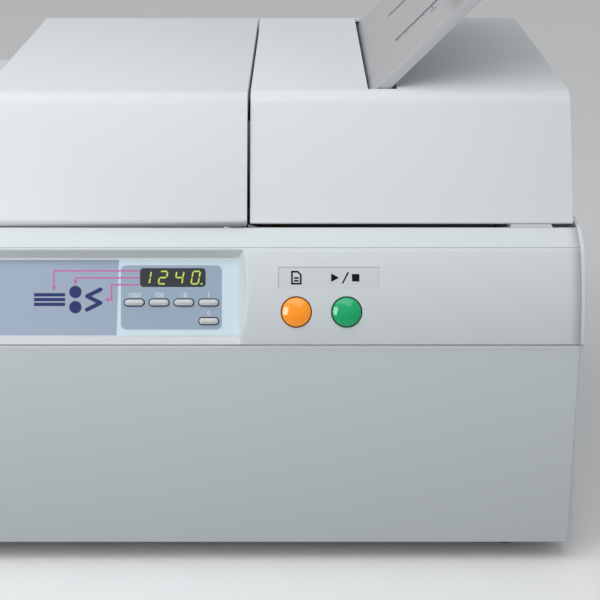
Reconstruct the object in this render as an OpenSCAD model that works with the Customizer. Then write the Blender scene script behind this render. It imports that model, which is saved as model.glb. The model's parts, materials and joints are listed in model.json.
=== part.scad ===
// Desktop paper folding machine: a friction feeder, a four-roller buckle folding unit with an
// upper and a lower fold plate, and a belt delivery, in a sheet and moulded plastic body.
// X runs from the feed side to the fold plates, -Y is the operator's side, Z is up.
// The origin is on the floor, below the middle of the machine.

/* [Body] */
// Width of the closed body, without the feed table
body_w = 540; // [520:5:600]
// Depth over the console and the power module
body_d = 540; // [520:5:600]
// Thickness of covers and moulded walls
wall = 3; // [2:0.5:4]
// Height of the rubber feet
foot_h = 16; // [10:1:25]
// Radius of a rubber foot
foot_r = 16; // [10:1:22]
// Distance of a foot's centre from the body's edges
foot_inset = 48; // [40:1:70]
// Thickness of the steel base plate
base_t = 3; // [2:0.5:5]
// Gap between the base plate's underside and the covers' lower edge
cover_drop = 2; // [1:0.5:4]
// Height of the seam below the console
seam_z = 190; // [180:1:200]
// How far the lower front cover stands back from the console's lower edge
front_inset = 1.5; // [1:0.5:6]
// Chamfer along the top of the rear cover
rear_chamfer = 12; // [6:1:20]

/* [Console] */
// Lean of the console's face from the vertical, in degrees
face_tilt = 20; // [15:1:25]
// Height of the console's face along its slope
face_h = 74.8; // [70:0.2:80]
// Height of the bulge of the console's face
face_bulge = 4; // [2:0.5:6]
// Depth of the ledge behind the console's face
ledge_d = 20; // [16:1:26]
// Rise of the ledge over its depth
ledge_rise = 9.8; // [6:0.1:12]
// Depth of the display recess below the chord of the face
recess_depth = 6.5; // [5:0.5:8]
// Height of the sloping wall below the recess floor
recess_bevel = 6.3; // [4:0.1:8]
// Height of the sloping wall above the recess floor
recess_rise = 7.1; // [4:0.1:9]
// Distance from the upper edge of the face down to the recess
recess_drop = 1.7; // [1:0.1:4]
// Sideways draft of the recess's end walls per millimetre of depth
recess_draft = 0.6; // [0.3:0.05:1]
// Distance from the left side of the body to the left end of the recess floor
recess_from_left = 33.5; // [25:0.5:60]
// Distance from the parting gap of the hoods to the right end of the recess floor
recess_from_gap = 7.1; // [2:0.1:20]
// Thickness of the printed display panel
panel_t = 0.8; // [0.5:0.1:1.2]

/* [Display and keys] */
// Width of the display window
window_w = 50.8; // [44:0.2:56]
// Height of the display window
window_h = 14.6; // [12:0.2:17]
// Corner radius of the display window
window_r = 2.7; // [1:0.1:4]
// Distance of the window's centre from the right end of the recess floor
window_from_end = 51.1; // [45:0.1:60]
// Height of the window's centre on the face
window_a = 51.6; // [50:0.1:53]
// Height of the glowing digits
digit_h = 11; // [9:0.5:12]
// Distance from digit to digit
digit_pitch = 12.7; // [11:0.1:12.7]
// Length of a key
key_l = 15.4; // [13:0.1:16.5]
// Width of a key
key_w = 5.4; // [4:0.1:6.5]
// Distance from key to key
key_pitch = 19.2; // [18.5:0.1:19.5]
// Height of the key row on the face
key_row_a = 32.3; // [30:0.1:34]
// Height of the reset key on the face
reset_a = 17.9; // [15:0.1:20]
// Distance of the units key from the right end of the recess floor
units_from_end = 23.3; // [20:0.1:30]
// Height of a key above the display panel
key_proud = 1.9; // [1:0.1:3]
// Travel of a key
key_travel = 1.2; // [0.8:0.1:1.5]

/* [Push buttons] */
// Radius of a round push button
button_r = 11.6; // [10:0.1:13]
// Radius of the dome of a push button
button_dome_r = 26; // [20:1:40]
// Distance of the test button from the parting gap of the hoods
test_from_gap = 37.4; // [34:0.1:45]
// Distance from the test button to the start button
button_pitch = 38.7; // [32:0.1:44]
// Height of the push buttons on the face
button_a = 25; // [22:0.5:28]
// Travel of a push button
button_travel = 3; // [2:0.25:3.5]
// Length of the legend strip above the buttons
strip_w = 77; // [70:1:90]
// Height of the legend strip
strip_h = 15.8; // [12:0.2:18]
// Height of the strip's lower edge on the face
strip_a = 43.5; // [42:0.5:46]
// Distance of the strip's left end from the parting gap of the hoods
strip_from_gap = 23.8; // [20:0.2:32]
// Depth of the strip's pocket
strip_depth = 1; // [0.7:0.1:1.4]

/* [Hoods] */
// Distance of the parting gap from the right side of the body
gap_from_right = 259.4; // [250:0.1:270]
// Width of the parting gap
hood_gap = 2.4; // [1:0.1:4]
// Length of the feed hood
feed_hood_l = 210; // [190:1:220]
// Lean of the hoods' front and rear faces, in degrees
hood_lean = 27; // [20:1:28]
// Height of the hoods
hood_h = 96; // [92:1:110]
// Rounding along the hoods' top edges
hood_round = 16; // [8:1:22]
// Gap between the deck's edge and the fold hood's lower edge
hood_set_back = 1.2; // [1:0.1:4]
// How far the feed hood's front stands out over the ledge
feed_hood_out = 4.5; // [0:0.5:5]
// Radius of the feed hood's rolled lower edge
feed_hood_roll = 4.4; // [1:0.1:5]
// Rounding along the fold hood's lower edges
fold_hood_roll = 1.5; // [1:0.1:2]
// Gap below the feed hood
feed_hood_lift = 0.4; // [0.3:0.1:2]
// Gap below the fold hood
fold_hood_lift = 1.7; // [1:0.1:5]
// Radius of the feed hood's hinge pins
hinge_pin_r = 3; // [2:0.25:4]
// Width of a hinge lug
lug_w = 10; // [6:1:14]

/* [Frames] */
// Distance of the side frames' outer faces from the front and the rear of the body
frame_edge = 98; // [90:1:102]
// Thickness of a side frame
frame_t = 4; // [3:0.5:5]
// Height of the side frames below the feed table
frame_low_z = 288; // [286:1:290]
// Height of the side frames at the rollers
frame_high_z = 342; // [338:1:346]
// Radius of the tie bars
tie_r = 6; // [4:0.5:7]

/* [Rollers] */
// Distance of the centre roller from the right side of the body
centre_from_right = 238; // [230:1:244]
// Height of the centre roller
centre_z = 280; // [278:1:282]
// Radius of a fold roller
roller_r = 17; // [15:0.5:17.5]
// Gap in a nip, for the paper
nip = 0.4; // [0.3:0.1:0.8]
// Gap between a fold roller's end and the side frame
roller_end = 8; // [6:0.5:12]
// Radius of a fold roller's shaft
shaft_r = 6; // [5:0.25:7]
// Teeth of a roller gear
gear_teeth = 20; // [20:4:24]
// Width of a roller gear
gear_w = 8; // [6:0.5:8.5]
// Radius of the feed roller
feed_r = 20; // [18:0.5:22]
// Distance of the feed roller before the centre roller
feed_before = 77; // [70:1:85]
// Radius of the pickup roller
pickup_r = 14; // [12:0.5:16]
// Distance of the pickup roller before the centre roller
pickup_before = 134; // [125:1:140]
// Width of a rubber tyre on the feed and pickup rollers
tyre_w = 40; // [30:1:50]
// Distance from tyre to tyre
tyre_pitch = 70; // [60:1:90]

/* [Drive] */
// Radius of the drive pulley on the centre roller
pulley_r = 28; // [24:1:29]
// Radius of the motor pulley
motor_pulley_r = 16; // [12:0.5:20]
// Width of the pulleys
pulley_w = 10; // [8:0.5:10.5]
// Thickness of the drive belt
belt_t = 1.5; // [1:0.25:2]
// Radius of the motor
motor_r = 38; // [30:1:42]
// Length of the motor
motor_l = 104; // [80:2:120]
// Distance of the motor after the centre roller
motor_after = 63; // [55:1:75]
// Height of the motor's shaft
motor_z = 85; // [75:1:95]

/* [Feed] */
// How far the feed table reaches out of the body
table_reach = 280; // [260:5:340]
// Thickness of the feed table
table_t = 3; // [2:0.5:4]
// Depth of the feed table's turned-down edge
table_skirt = 12; // [8:1:16]
// Length of a paper guide
guide_l = 250; // [220:5:280]
// Height of a paper guide
guide_h = 44; // [30:1:55]
// Distance of a paper guide from the side frame, set for a common sheet
guide_side = 62.5; // [58:0.5:66]
// Travel of a paper guide, inwards and outwards
guide_travel = 32; // [20:1:34]

/* [Fold plates] */
// Rise of the upper fold plate, in degrees
upper_angle = 45; // [42:1:46]
// Length of the upper fold plate
upper_l = 290; // [280:2:292]
// Fall of the lower fold plate, in degrees
lower_angle = 40; // [38:1:42]
// Length of the lower fold plate
lower_l = 236; // [220:2:240]
// Gap between a fold plate's edge and the side frame
plate_side = 10; // [7:0.5:14]
// Thickness of a fold plate's sheet
sheet_t = 2; // [1.5:0.25:2.5]
// Gap between a fold plate's sheets
sheet_gap = 4; // [3.5:0.25:5]
// Distance of a fold plate's mouth from the centre roller, sideways and in height
mouth_offset = 24; // [23:0.5:26]
// Place of the upper stop's carriage along its plate
upper_stop_u = 185; // [180:1:188]
// Place of the lower stop's carriage along its plate
lower_stop_u = 150; // [140:1:160]
// Length of the fingers that carry a stop bar
stop_finger_l = 70; // [60:1:80]
// Width of a stop's carriage along the plate
carriage_l = 14; // [10:1:18]
// Radius of the clamp knob
knob_r = 11; // [8:0.5:14]

/* [Delivery] */
// How far the delivery tray reaches out of the body
tray_reach = 270; // [240:5:275]
// Height of the delivery rollers
tray_z = 100; // [95:1:105]
// Radius of a delivery roller
delivery_r = 12; // [10:0.5:14]
// Thickness of a delivery belt
delivery_belt_t = 1.2; // [0.8:0.1:2]
// Width of a delivery belt
delivery_belt_w = 24; // [16:1:30]
// Distance from belt to belt
delivery_belt_pitch = 72; // [60:1:80]
// Height of the delivery tray's rails
rail_h = 40; // [36:1:44]
// Thickness of the delivery tray's rails
rail_t = 7; // [5:0.5:8]
// Radius of the stacker's wheels
stacker_wheel_r = 15; // [12:0.5:18]

/* [Power] */
// Width of the power module
power_w = 27; // [26:0.5:32]
// Height of the power module
power_h = 50; // [48:1:56]
// Thickness of the power module's flange
power_flange_t = 2; // [1.5:0.25:3]
// Distance of the power module from the right side of the body
power_from_right = 70; // [60:1:90]
// Height of the power module's centre
power_z = 80; // [70:1:95]

/* [Clearances] */
// Radial running clearance of a shaft in its bush
run_fit = 0.05; // [0.02:0.01:0.1]
// Gap between pieces that slide past each other
slide_fit = 0.3; // [0.2:0.05:0.4]
// Gap round a key or push button
cap_gap = 0.5; // [0.3:0.05:0.7]

/* [Hidden] */
$fn = 64;

// Colours of the finishes
cover_grey = [0.84, 0.86, 0.87];
lower_grey = [0.78, 0.80, 0.81];
panel_blue = [0.78, 0.86, 0.90];
steel = [0.72, 0.73, 0.75];
rubber_black = [0.09, 0.09, 0.10];
smoked_black = [0.12, 0.12, 0.15];
key_white = [0.86, 0.87, 0.86];
board_green = [0.10, 0.32, 0.20];
button_orange = [0.96, 0.55, 0.12];
button_green = [0.02, 0.60, 0.37];

// Body outline: the left and right sides, and the depth's half
x1 = (body_w + table_reach) / 2;
x0 = x1 - body_w;
in_x0 = x0 + wall;
in_x1 = x1 - wall;
half_d = body_d / 2;
cover_z = foot_h + cover_drop;
floor_z = foot_h + base_t;
seam_gap = 1.5;
front_y = -half_d + front_inset;
rear_y = half_d - power_flange_t;

// The console's face is drawn along its slope: a runs up the face, b stands out from it
bulge_r = (face_h * face_h / 4 + face_bulge * face_bulge) / (2 * face_bulge);
bulge_b = face_bulge - bulge_r;
bulge_half = asin(face_h / 2 / bulge_r);
bulge_steps = 24;
deck_y = half_d - face_h * sin(face_tilt) - ledge_d;
deck_z = seam_z + face_h * cos(face_tilt) + ledge_rise;
gap_x = x1 - gap_from_right;
recess_x1 = gap_x - recess_from_gap;
recess_x0 = x0 + recess_from_left;
recess_w = recess_x1 - recess_x0;
recess_a1 = face_h - recess_drop - recess_rise;
recess_floor_t = 3;
recess_back = -recess_depth - recess_floor_t;
panel_top = panel_t - recess_depth;
panel_margin = 0.6;
board_b = -22;
board_t = 1.6;
board_top = board_b + board_t;
window_x = recess_x1 - window_from_end;
units_x = recess_x1 - units_from_end;
test_x = gap_x + test_from_gap;
start_x = test_x + button_pitch;
strip_x0 = gap_x + strip_from_gap;
board_posts_x = [window_x - 36, start_x + 30];
board_posts_a = [12, face_h - 14];
strip_a1 = strip_a + strip_h;
key_flange = 1.2;
key_flange_t = 1.4;
button_rim = 4.2;
button_flange = 2;
button_flange_t = 2;

// Where the inside of the console's wall lies at the lower edge of a push button's flange
button_seat_b = bulge_b + sqrt(pow(bulge_r - wall, 2)
    - pow(button_a - button_r - button_flange - face_h / 2, 2));

// Hoods, seen from the side: half the depth at the bottom and at the top
hood_y = deck_y - hood_set_back;
hood_top_y = hood_y - hood_h * tan(hood_lean);
feed_hood_x1 = gap_x - hood_gap / 2;
feed_hood_x0 = feed_hood_x1 - feed_hood_l;
fold_hood_x0 = gap_x + hood_gap / 2;
fold_hood_x1 = x1 - 6;
hood_top_z = deck_z + hood_h;
hinge_y = hood_y + 7;
hinge_z = deck_z + 7;
lug_r = hinge_pin_r + 2.5;
hinge_lug_x = [feed_hood_x0 + 22, feed_hood_x1 - 42];

// Side frames
frame_out = half_d - frame_edge;
frame_in = frame_out - frame_t;
frame_x0 = x0 + 10;
frame_x1 = x1 - 10;
frame_tall_l = 385;
frame_step_x = frame_x1 - frame_tall_l;
frame_end_h = 100;
frame_shoulder_h = 180;
frame_shoulder_x = x1 - 65;
cable_hole_w = 60;

// Rollers
pitch = 2 * roller_r + nip;
roller_l = 2 * (frame_in - roller_end);
centre_x = x1 - centre_from_right;
paper_z = centre_z + roller_r + nip / 2;
feed_x = centre_x - feed_before;
feed_z = paper_z + nip + feed_r;
pickup_x = centre_x - pickup_before;
pickup_z = paper_z + nip + pickup_r;
bush_r = shaft_r + 3;
bush_flange_r = shaft_r + 5;
bush_flange_t = 1.5;
bush_play = 1;
shaft_end = frame_out + bush_flange_t + 2;
gear_y = frame_out + bush_flange_t + 2;
pulley_y = gear_y + gear_w + 2.5;
delivery_shaft_r = 5;
delivery_x = x0 + 70;
idler_inset = 20;
idler_x = x0 - tray_reach + idler_inset;

// Roller gears: involute teeth with a working backlash
gear_module = pitch / gear_teeth;
gear_pitch_r = pitch / 2;
gear_base_r = gear_pitch_r * cos(20);
gear_tip_r = gear_pitch_r + gear_module;
gear_root_r = gear_pitch_r - 1.25 * gear_module;
gear_backlash = 0.3;
flank_steps = 4;

// Drive
motor_x = centre_x + motor_after;
motor_shaft_r = 5;
belt_run = slide_fit;
belt_steps = 36;

// Tie bars: under the separator pad, in the lower corners, under the chute and by the upper plate
tie_places = [
    [feed_x, paper_z - 18], [frame_x0 + 20, floor_z + 30], [frame_x1 - 15, floor_z + 25],
    [frame_shoulder_x - 27, frame_high_z - 17], [feed_x - 35, floor_z + 40]
];

// Feed table
table_x0 = -x1;
table_z = frame_low_z;
table_top = table_z + table_t;
table_half_w = frame_out + 2;
table_step_x = frame_step_x - 3;
table_tongue_x = feed_x - 25;
guide_x0 = feed_hood_x0 - 12 - guide_l;
guide_t = 2.5;
paper_w = 2 * (frame_in - guide_side);
guide_foot = 24;
guide_post = 6;
guide_post_x = guide_x0 + guide_l / 2;

// Fold plates
upper_mouth = [centre_x + mouth_offset, centre_z + mouth_offset];
lower_mouth = [centre_x + mouth_offset, centre_z - mouth_offset];
plate_w = 2 * (frame_in - plate_side);
plate_half = sheet_gap / 2 + sheet_t;
plate_u0 = 4;
plate_rail = 8;
plate_pin_r = 4;
plate_pin_u = [20, 48];
lower_pin_u = [20, lower_l - 14];
slot_y = 60;
slot_w = 8;
finger_w = 6;
carriage_h = 8;
carriage_half_w = 80;
upper_travel = [65, 90];
lower_travel = [40, 60];
stud_r = 3;
knob_h = 13;
hood_slot_x = upper_mouth[0] + (hood_top_z - wall / 2 - upper_mouth[1]) / tan(upper_angle);
hood_slot_half = plate_half / sin(upper_angle) + wall / tan(upper_angle) + 3;

// Delivery
tray_x0 = x0 - tray_reach;
tray_x1 = delivery_x - 16;
rail_z0 = tray_z - rail_h * 0.4;
rail_z1 = rail_z0 + rail_h;
rail_in = frame_in - rail_t;
deck_plate_z = tray_z + 4;
deck_plate_t = 2;
belt_in_r = delivery_r + slide_fit;
belt_out_r = belt_in_r + delivery_belt_t;
stacker_out = 170;
stacker_x = x0 - stacker_out;
stacker_leg = 30;
stacker_bar_z = tray_z + belt_out_r + 2 * stacker_wheel_r + 8;
outlet_z0 = rail_z0 - 4;
outlet_h = 96;
outlet_z1 = tray_z + outlet_h;
outlet_half_w = frame_out;
chute_t = 2;
chute_top = [centre_x - 24, centre_z - 24];
chute_end = [delivery_x + 15, tray_z + belt_out_r + 10];

// Power module
power_x = x1 - power_from_right;
rocker_z = power_z + power_h / 2 - 11;
rocker_y = rear_y - 4;
rocker_w = 14;
rocker_h = 15;
rocker_pin_r = 1.5;
socket_w = 22;
socket_h = 15;
socket_z = power_z - 10;

// Access opening in the right cover, for the lower fold plate's stop
access_half_w = plate_w / 2 + 6;
access_z0 = floor_z + 60;
access_z1 = deck_z - 35;

// Control board, on the front side frame
control_w = 180;
control_h = 110;
control_lift = 30;
control_standoff = 8;

// Screws of the covers
screw_r = 2;
screw_head_r = 4;
screw_head_t = 1.8;
screw_l = 8;
side_screws = [
    for (y = [-half_d + 40, half_d - 40]) for (z = [cover_z + 22, deck_z - 45]) [y, z]
];
rear_screws = [
    for (x = [x0 + 30, (x0 + x1) / 2, x1 - 30]) for (z = [cover_z + 22, deck_z - 45]) [x, z]
];

// Outlines

// Unit vector along v
function unit(v) = v / norm(v);

// Points of an arc that rounds the corner at b, between a and c
function corner(a, b, c, r, steps) =
    let (
        u = unit(a - b),
        v = unit(c - b),
        half = acos(u * v) / 2,
        centre = b + unit(u + v) * r / sin(half),
        first = b + u * r / tan(half) - centre,
        last = b + v * r / tan(half) - centre,
        start = atan2(first[1], first[0]),
        turn = atan2(cross(first, last), first * last)
    )
    [for (i = [0:steps]) centre + r * [cos(start + turn * i / steps), sin(start + turn * i / steps)]];

// A closed outline whose corners have the given radii
function rounded(points, radii, steps) =
    let (n = len(points))
    [for (i = [0:n - 1]) each radii[i] > 0
        ? corner(points[(i + n - 1) % n], points[i], points[(i + 1) % n], radii[i], steps)
        : [points[i]]];

// The console's bulged face from its lower to its upper edge, moved inwards
function bulge(inset) = [
    for (i = [0:bulge_steps]) let (t = bulge_half * (2 * i / bulge_steps - 1))
        [face_h / 2 + (bulge_r - inset) * sin(t), bulge_b + (bulge_r - inset) * cos(t)]
];

// A place on the console's face, as seen from the machine's side
function from_face(p) = [
    -half_d + p[0] * sin(face_tilt) - p[1] * cos(face_tilt),
    seam_z + p[0] * cos(face_tilt) + p[1] * sin(face_tilt)
];

// The ledge's rear edge in the face's own directions
ledge_a = face_h + ledge_d * sin(face_tilt) + ledge_rise * cos(face_tilt);
ledge_b = ledge_rise * sin(face_tilt) - ledge_d * cos(face_tilt);

// The involute function, in degrees
function involute(angle) = tan(angle) * 180 / PI - angle;

// Half of a tooth's width at a radius, in degrees
function tooth_half(r) =
    90 / gear_teeth - gear_backlash / 4 / gear_pitch_r * 180 / PI
    + involute(acos(gear_base_r / gear_pitch_r)) - involute(acos(min(1, gear_base_r / r)));

// Outline of a roller gear with a tooth on its first axis
gear_points = [
    for (tooth = [0:gear_teeth - 1]) each [
        for (side = [-1, 1]) for (i = [0:flank_steps])
            let (
                step = side < 0 ? i : flank_steps - i,
                r = step == 0 ? gear_root_r : gear_base_r
                    + (gear_tip_r - gear_base_r) * (step - 1) / (flank_steps - 1),
                angle = tooth * 360 / gear_teeth + side * tooth_half(max(r, gear_base_r))
            )
            r * [cos(angle), sin(angle)]
    ]
];

// Placing

// An outline in Y and Z, carried along X
module along_x(from, to) {
    translate([from, 0, 0]) rotate([90, 0, 90]) linear_extrude(to - from) children();
}

// An outline in X and Z, carried along Y
module along_y(from, to) {
    translate([0, to, 0]) rotate([90, 0, 0]) linear_extrude(to - from) children();
}

// A box between two corners
module block(low, high) {
    translate(low) cube(high - low);
}

// A round bar along Y
module bar_y(x, z, r, from, to) {
    translate([x, to, z]) rotate([90, 0, 0]) cylinder(r = r, h = to - from);
}

// A round bar along X
module bar_x(y, z, r, from, to) {
    translate([from, y, z]) rotate([0, 90, 0]) cylinder(r = r, h = to - from);
}

// The console's face: X along the machine, Y up the face, Z out of it
module on_face() {
    translate([0, -half_d, seam_z]) rotate([90 - face_tilt, 0, 0]) children();
}

// The upper fold plate: X up the plate, Z to its upper side
module on_upper_plate() {
    translate([upper_mouth[0], 0, upper_mouth[1]]) rotate([0, -upper_angle, 0]) children();
}

// The lower fold plate: X down the plate, Z to its upper side
module on_lower_plate() {
    translate([lower_mouth[0], 0, lower_mouth[1]]) rotate([0, lower_angle, 0]) children();
}

// A rectangle with round corners, about its centre
module soft_rect(w, h, r) {
    square([w - 2 * r, h], center = true);
    square([w, h - 2 * r], center = true);
    for (x = [-1, 1]) for (y = [-1, 1]) translate([x * (w / 2 - r), y * (h / 2 - r)]) circle(r);
}

// A bar with round ends, about its centre
module stadium(l, w) {
    square([l - w, w], center = true);
    for (x = [-1, 1]) translate([x * (l - w) / 2, 0]) circle(w / 2);
}

// Places of the five keys on the face
module at_key(i) {
    translate([units_x - (i < 4 ? 3 - i : 0) * key_pitch, i < 4 ? key_row_a : reset_a, 0]) children();
}

// Base and frames

module base_plate() {
    color(steel) block([in_x0, front_y + wall, foot_h], [in_x1, rear_y - wall, floor_z]);
}

module rubber_feet() {
    color(rubber_black)
        for (x = [x0 + foot_inset, x1 - foot_inset])
            for (y = [-half_d + foot_inset, half_d - foot_inset])
                translate([x, y, 0]) {
                    cylinder(r = foot_r, h = foot_h - 4);
                    translate([0, 0, foot_h - 4]) cylinder(r = foot_r - 3, h = 4);
                }
}

// Outline of a side frame, with its bearing holes
module frame_outline() {
    difference() {
        polygon([
            [frame_x0, floor_z], [frame_x1, floor_z], [frame_x1, floor_z + frame_end_h],
            [frame_shoulder_x, floor_z + frame_shoulder_h], [frame_shoulder_x, frame_high_z],
            [frame_step_x, frame_high_z], [frame_step_x, frame_low_z], [frame_x0, frame_low_z]
        ]);
        for (p = shaft_places) translate(p) circle(bush_r);
        translate([motor_x, motor_z]) circle(motor_shaft_r + 3);
        translate([feed_x - cable_hole_w * 0.75, (floor_z + outlet_z1) / 2])
            soft_rect(cable_hole_w, cable_hole_w, cable_hole_w / 5);
    }
}

// Shafts that turn in the side frames
shaft_places = [
    [centre_x, centre_z + pitch], [centre_x, centre_z], [centre_x + pitch, centre_z],
    [centre_x, centre_z - pitch], [feed_x, feed_z], [pickup_x, pickup_z], [delivery_x, tray_z]
];

module front_side_frame() {
    color(steel) along_y(-frame_out, -frame_in) frame_outline();
}

module rear_side_frame() {
    color(steel) along_y(frame_in, frame_out) frame_outline();
}

module tie_bars() {
    color(steel) for (p = tie_places) bar_y(p[0], p[1], tie_r, -frame_in, frame_in);
}

module roller_bushes() {
    color("goldenrod")
        for (p = shaft_places) for (side = [0, 1]) mirror([0, side, 0])
            difference() {
                union() {
                    bar_y(p[0], p[1], bush_r, frame_in - bush_play, frame_out);
                    bar_y(p[0], p[1], bush_flange_r, frame_out, frame_out + bush_flange_t);
                }
                bar_y(p[0], p[1], shaft_r + run_fit, frame_in - 2, frame_out + 2 * bush_flange_t);
            }
}

// Covers

module lower_front_cover() {
    flange = 14;
    color(lower_grey) {
        block([in_x0, front_y, cover_z], [in_x1, front_y + wall, seam_z - seam_gap]);
        block([in_x0, front_y + wall, seam_z - seam_gap - wall],
            [in_x1, front_y + wall + flange, seam_z - seam_gap]);
    }
}

// The body's side view, which both side covers follow
module body_outline() {
    polygon(concat(
        [[rear_y, cover_z], [front_y, cover_z], [front_y, seam_z - seam_gap], [front_y, seam_z]],
        [for (p = bulge(0)) from_face(p)],
        [[-deck_y, deck_z], [rear_y - rear_chamfer, deck_z], [rear_y, deck_z - rear_chamfer]]
    ));
}

// Countersunk pockets and clearance for a cover's screws
module side_screw_cuts(outer_x, inwards) {
    for (p = side_screws) {
        bar_x(p[0], p[1], screw_head_r, min(outer_x, outer_x + inwards * screw_head_t),
            max(outer_x, outer_x + inwards * screw_head_t));
        bar_x(p[0], p[1], screw_r, min(outer_x, outer_x + inwards * wall),
            max(outer_x, outer_x + inwards * wall));
    }
}

module left_cover() {
    slot = frame_t + 2;
    color(cover_grey) difference() {
        union() {
            along_x(x0, in_x0) body_outline();
            block([in_x0, -deck_y, deck_z - wall], [feed_hood_x0 - 1.5, deck_y, deck_z]);
        }
        block([x0 - 1, -outlet_half_w, outlet_z0], [in_x0 + 1, outlet_half_w, outlet_z1]);
        for (y = [-1, 1])
            block([in_x0 + 3, y * (frame_in + frame_t / 2) - slot / 2, deck_z - wall - 1],
                [feed_hood_x0, y * (frame_in + frame_t / 2) + slot / 2, deck_z + 1]);
        side_screw_cuts(x0, 1);
    }
}

module right_cover() {
    color(cover_grey) difference() {
        along_x(in_x1, x1) body_outline();
        translate([in_x1 - 1, 0, (access_z0 + access_z1) / 2]) rotate([90, 0, 90])
            linear_extrude(wall + 2) soft_rect(2 * access_half_w, access_z1 - access_z0, 14);
        side_screw_cuts(x1, -1);
    }
}

module rear_cover() {
    vents = 9;
    vent_pitch = 14;
    vent_x = motor_x;
    color(cover_grey) difference() {
        along_x(in_x0, in_x1) polygon([
            [rear_y - wall, cover_z], [rear_y, cover_z], [rear_y, deck_z - rear_chamfer],
            [rear_y - rear_chamfer, deck_z], [deck_y, deck_z], [deck_y, deck_z - wall],
            [rear_y - rear_chamfer - wall * 0.4, deck_z - wall],
            [rear_y - wall, deck_z - rear_chamfer - wall * 0.4]
        ]);
        for (i = [0:vents - 1])
            translate([vent_x + (i - (vents - 1) / 2) * vent_pitch, rear_y + 1, motor_z + 50])
                rotate([90, 90, 0]) linear_extrude(wall + 2) stadium(60, 5);
        translate([power_x, rear_y + 1, power_z]) rotate([90, 0, 0])
            linear_extrude(wall + 2) square([power_w, power_h], center = true);
        for (p = rear_screws) {
            bar_y(p[0], p[1], screw_head_r, rear_y - screw_head_t, rear_y + 1);
            bar_y(p[0], p[1], screw_r, rear_y - wall - 1, rear_y + 1);
        }
    }
}

// A screw that points along +Z, with its head's top at the origin
module screw() {
    difference() {
        cylinder(r = screw_head_r, h = screw_head_t);
        for (turn = [0, 90]) rotate([0, 0, turn])
            translate([-2, -0.4, -1]) cube([4, 0.8, 1.9]);
    }
    translate([0, 0, screw_head_t]) cylinder(r = screw_r, h = screw_l);
}

module cover_screws() {
    color(steel) {
        for (p = side_screws) {
            translate([x0, p[0], p[1]]) rotate([0, 90, 0]) screw();
            translate([x1, p[0], p[1]]) rotate([0, -90, 0]) screw();
        }
        for (p = rear_screws) translate([p[0], rear_y, p[1]]) rotate([90, 0, 0]) screw();
    }
}

// Console

// The recess in the console's face, with sloping walls all round
module recess_cut() {
    out = 12;
    below = recess_bevel / recess_depth * (out + recess_depth);
    above = recess_rise / recess_depth * (out + recess_depth);
    side = recess_draft * (out + recess_depth);
    intersection() {
        along_x(recess_x0 - 2 * out, recess_x1 + 2 * out) polygon([
            [recess_bevel, -recess_depth], [recess_a1, -recess_depth],
            [recess_a1 + above, out], [recess_bevel - below, out]
        ]);
        along_y(-2 * out, face_h + 2 * out) polygon([
            [recess_x0, -recess_depth], [recess_x1, -recess_depth],
            [recess_x1 + side, out], [recess_x0 - side, out]
        ]);
    }
}

module console_housing() {
    lip = 10;
    level = [sin(face_tilt), -cos(face_tilt)];
    upright = [cos(face_tilt), sin(face_tilt)];
    pocket_side = recess_draft * (recess_depth + face_bulge) + wall;
    color(cover_grey) on_face() difference() {
        union() {
            along_x(in_x0, in_x1) polygon(concat(
                bulge(0), [[ledge_a, ledge_b], [ledge_a, ledge_b] - wall * upright],
                [for (i = [bulge_steps:-1:0]) bulge(wall)[i]],
                [lip * level + wall * upright, lip * level]
            ));
            along_x(recess_x0 - pocket_side, recess_x1 + pocket_side) polygon(concat(
                bulge(0), [[face_h - wall, recess_back], [wall + 1, recess_back]]
            ));
            for (x = board_posts_x) for (a = board_posts_a)
                translate([x, a, board_top]) cylinder(r = 3, h = face_bulge - wall - board_top);
        }
        recess_cut();
        translate([window_x, window_a, recess_back - 1]) linear_extrude(recess_floor_t + 2)
            soft_rect(window_w, window_h, window_r);
        for (i = [0:4]) at_key(i) translate([0, 0, recess_back - 1])
            linear_extrude(recess_floor_t + 2) stadium(key_l + 2 * cap_gap, key_w + 2 * cap_gap);
        for (x = [test_x, start_x]) translate([x, button_a, -8])
            cylinder(r = button_r + cap_gap, h = 20);
        along_x(strip_x0, strip_x0 + strip_w) strip_section(-1, strip_depth);
    }
}

// A band of the bulged face between two depths, as high as the legend strip
module strip_section(from, to) {
    intersection() {
        difference() {
            polygon(concat(bulge(from), [[face_h / 2, bulge_b]]));
            polygon(concat(bulge(to), [[face_h / 2, bulge_b]]));
        }
        translate([strip_a, -20]) square([strip_h, 40]);
    }
}

module legend_strip() {
    color(key_white) on_face()
        along_x(strip_x0 + 0.2, strip_x0 + strip_w - 0.2) strip_section(strip_depth - 0.5, strip_depth);
}

module display_panel() {
    w = recess_w - 2 * panel_margin;
    h = recess_a1 - recess_bevel - 2 * panel_margin;
    color(panel_blue) on_face() difference() {
        translate([(recess_x0 + recess_x1) / 2, (recess_bevel + recess_a1) / 2, -recess_depth])
            linear_extrude(panel_t) soft_rect(w, h, 2);
        translate([window_x, window_a, -recess_depth - 1]) linear_extrude(panel_t + 2)
            soft_rect(window_w, window_h, window_r);
        for (i = [0:4]) at_key(i) translate([0, 0, -recess_depth - 1])
            linear_extrude(panel_t + 2) stadium(key_l + 2 * cap_gap, key_w + 2 * cap_gap);
    }
}

module display_window() {
    color(smoked_black) on_face() translate([window_x, window_a, 0]) {
        translate([0, 0, recess_back]) linear_extrude(panel_top - recess_back - 0.1)
            soft_rect(window_w, window_h, window_r);
        translate([0, 0, recess_back - 1.5]) linear_extrude(1.5)
            soft_rect(window_w + 4, window_h + 1, window_r);
    }
}

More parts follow.
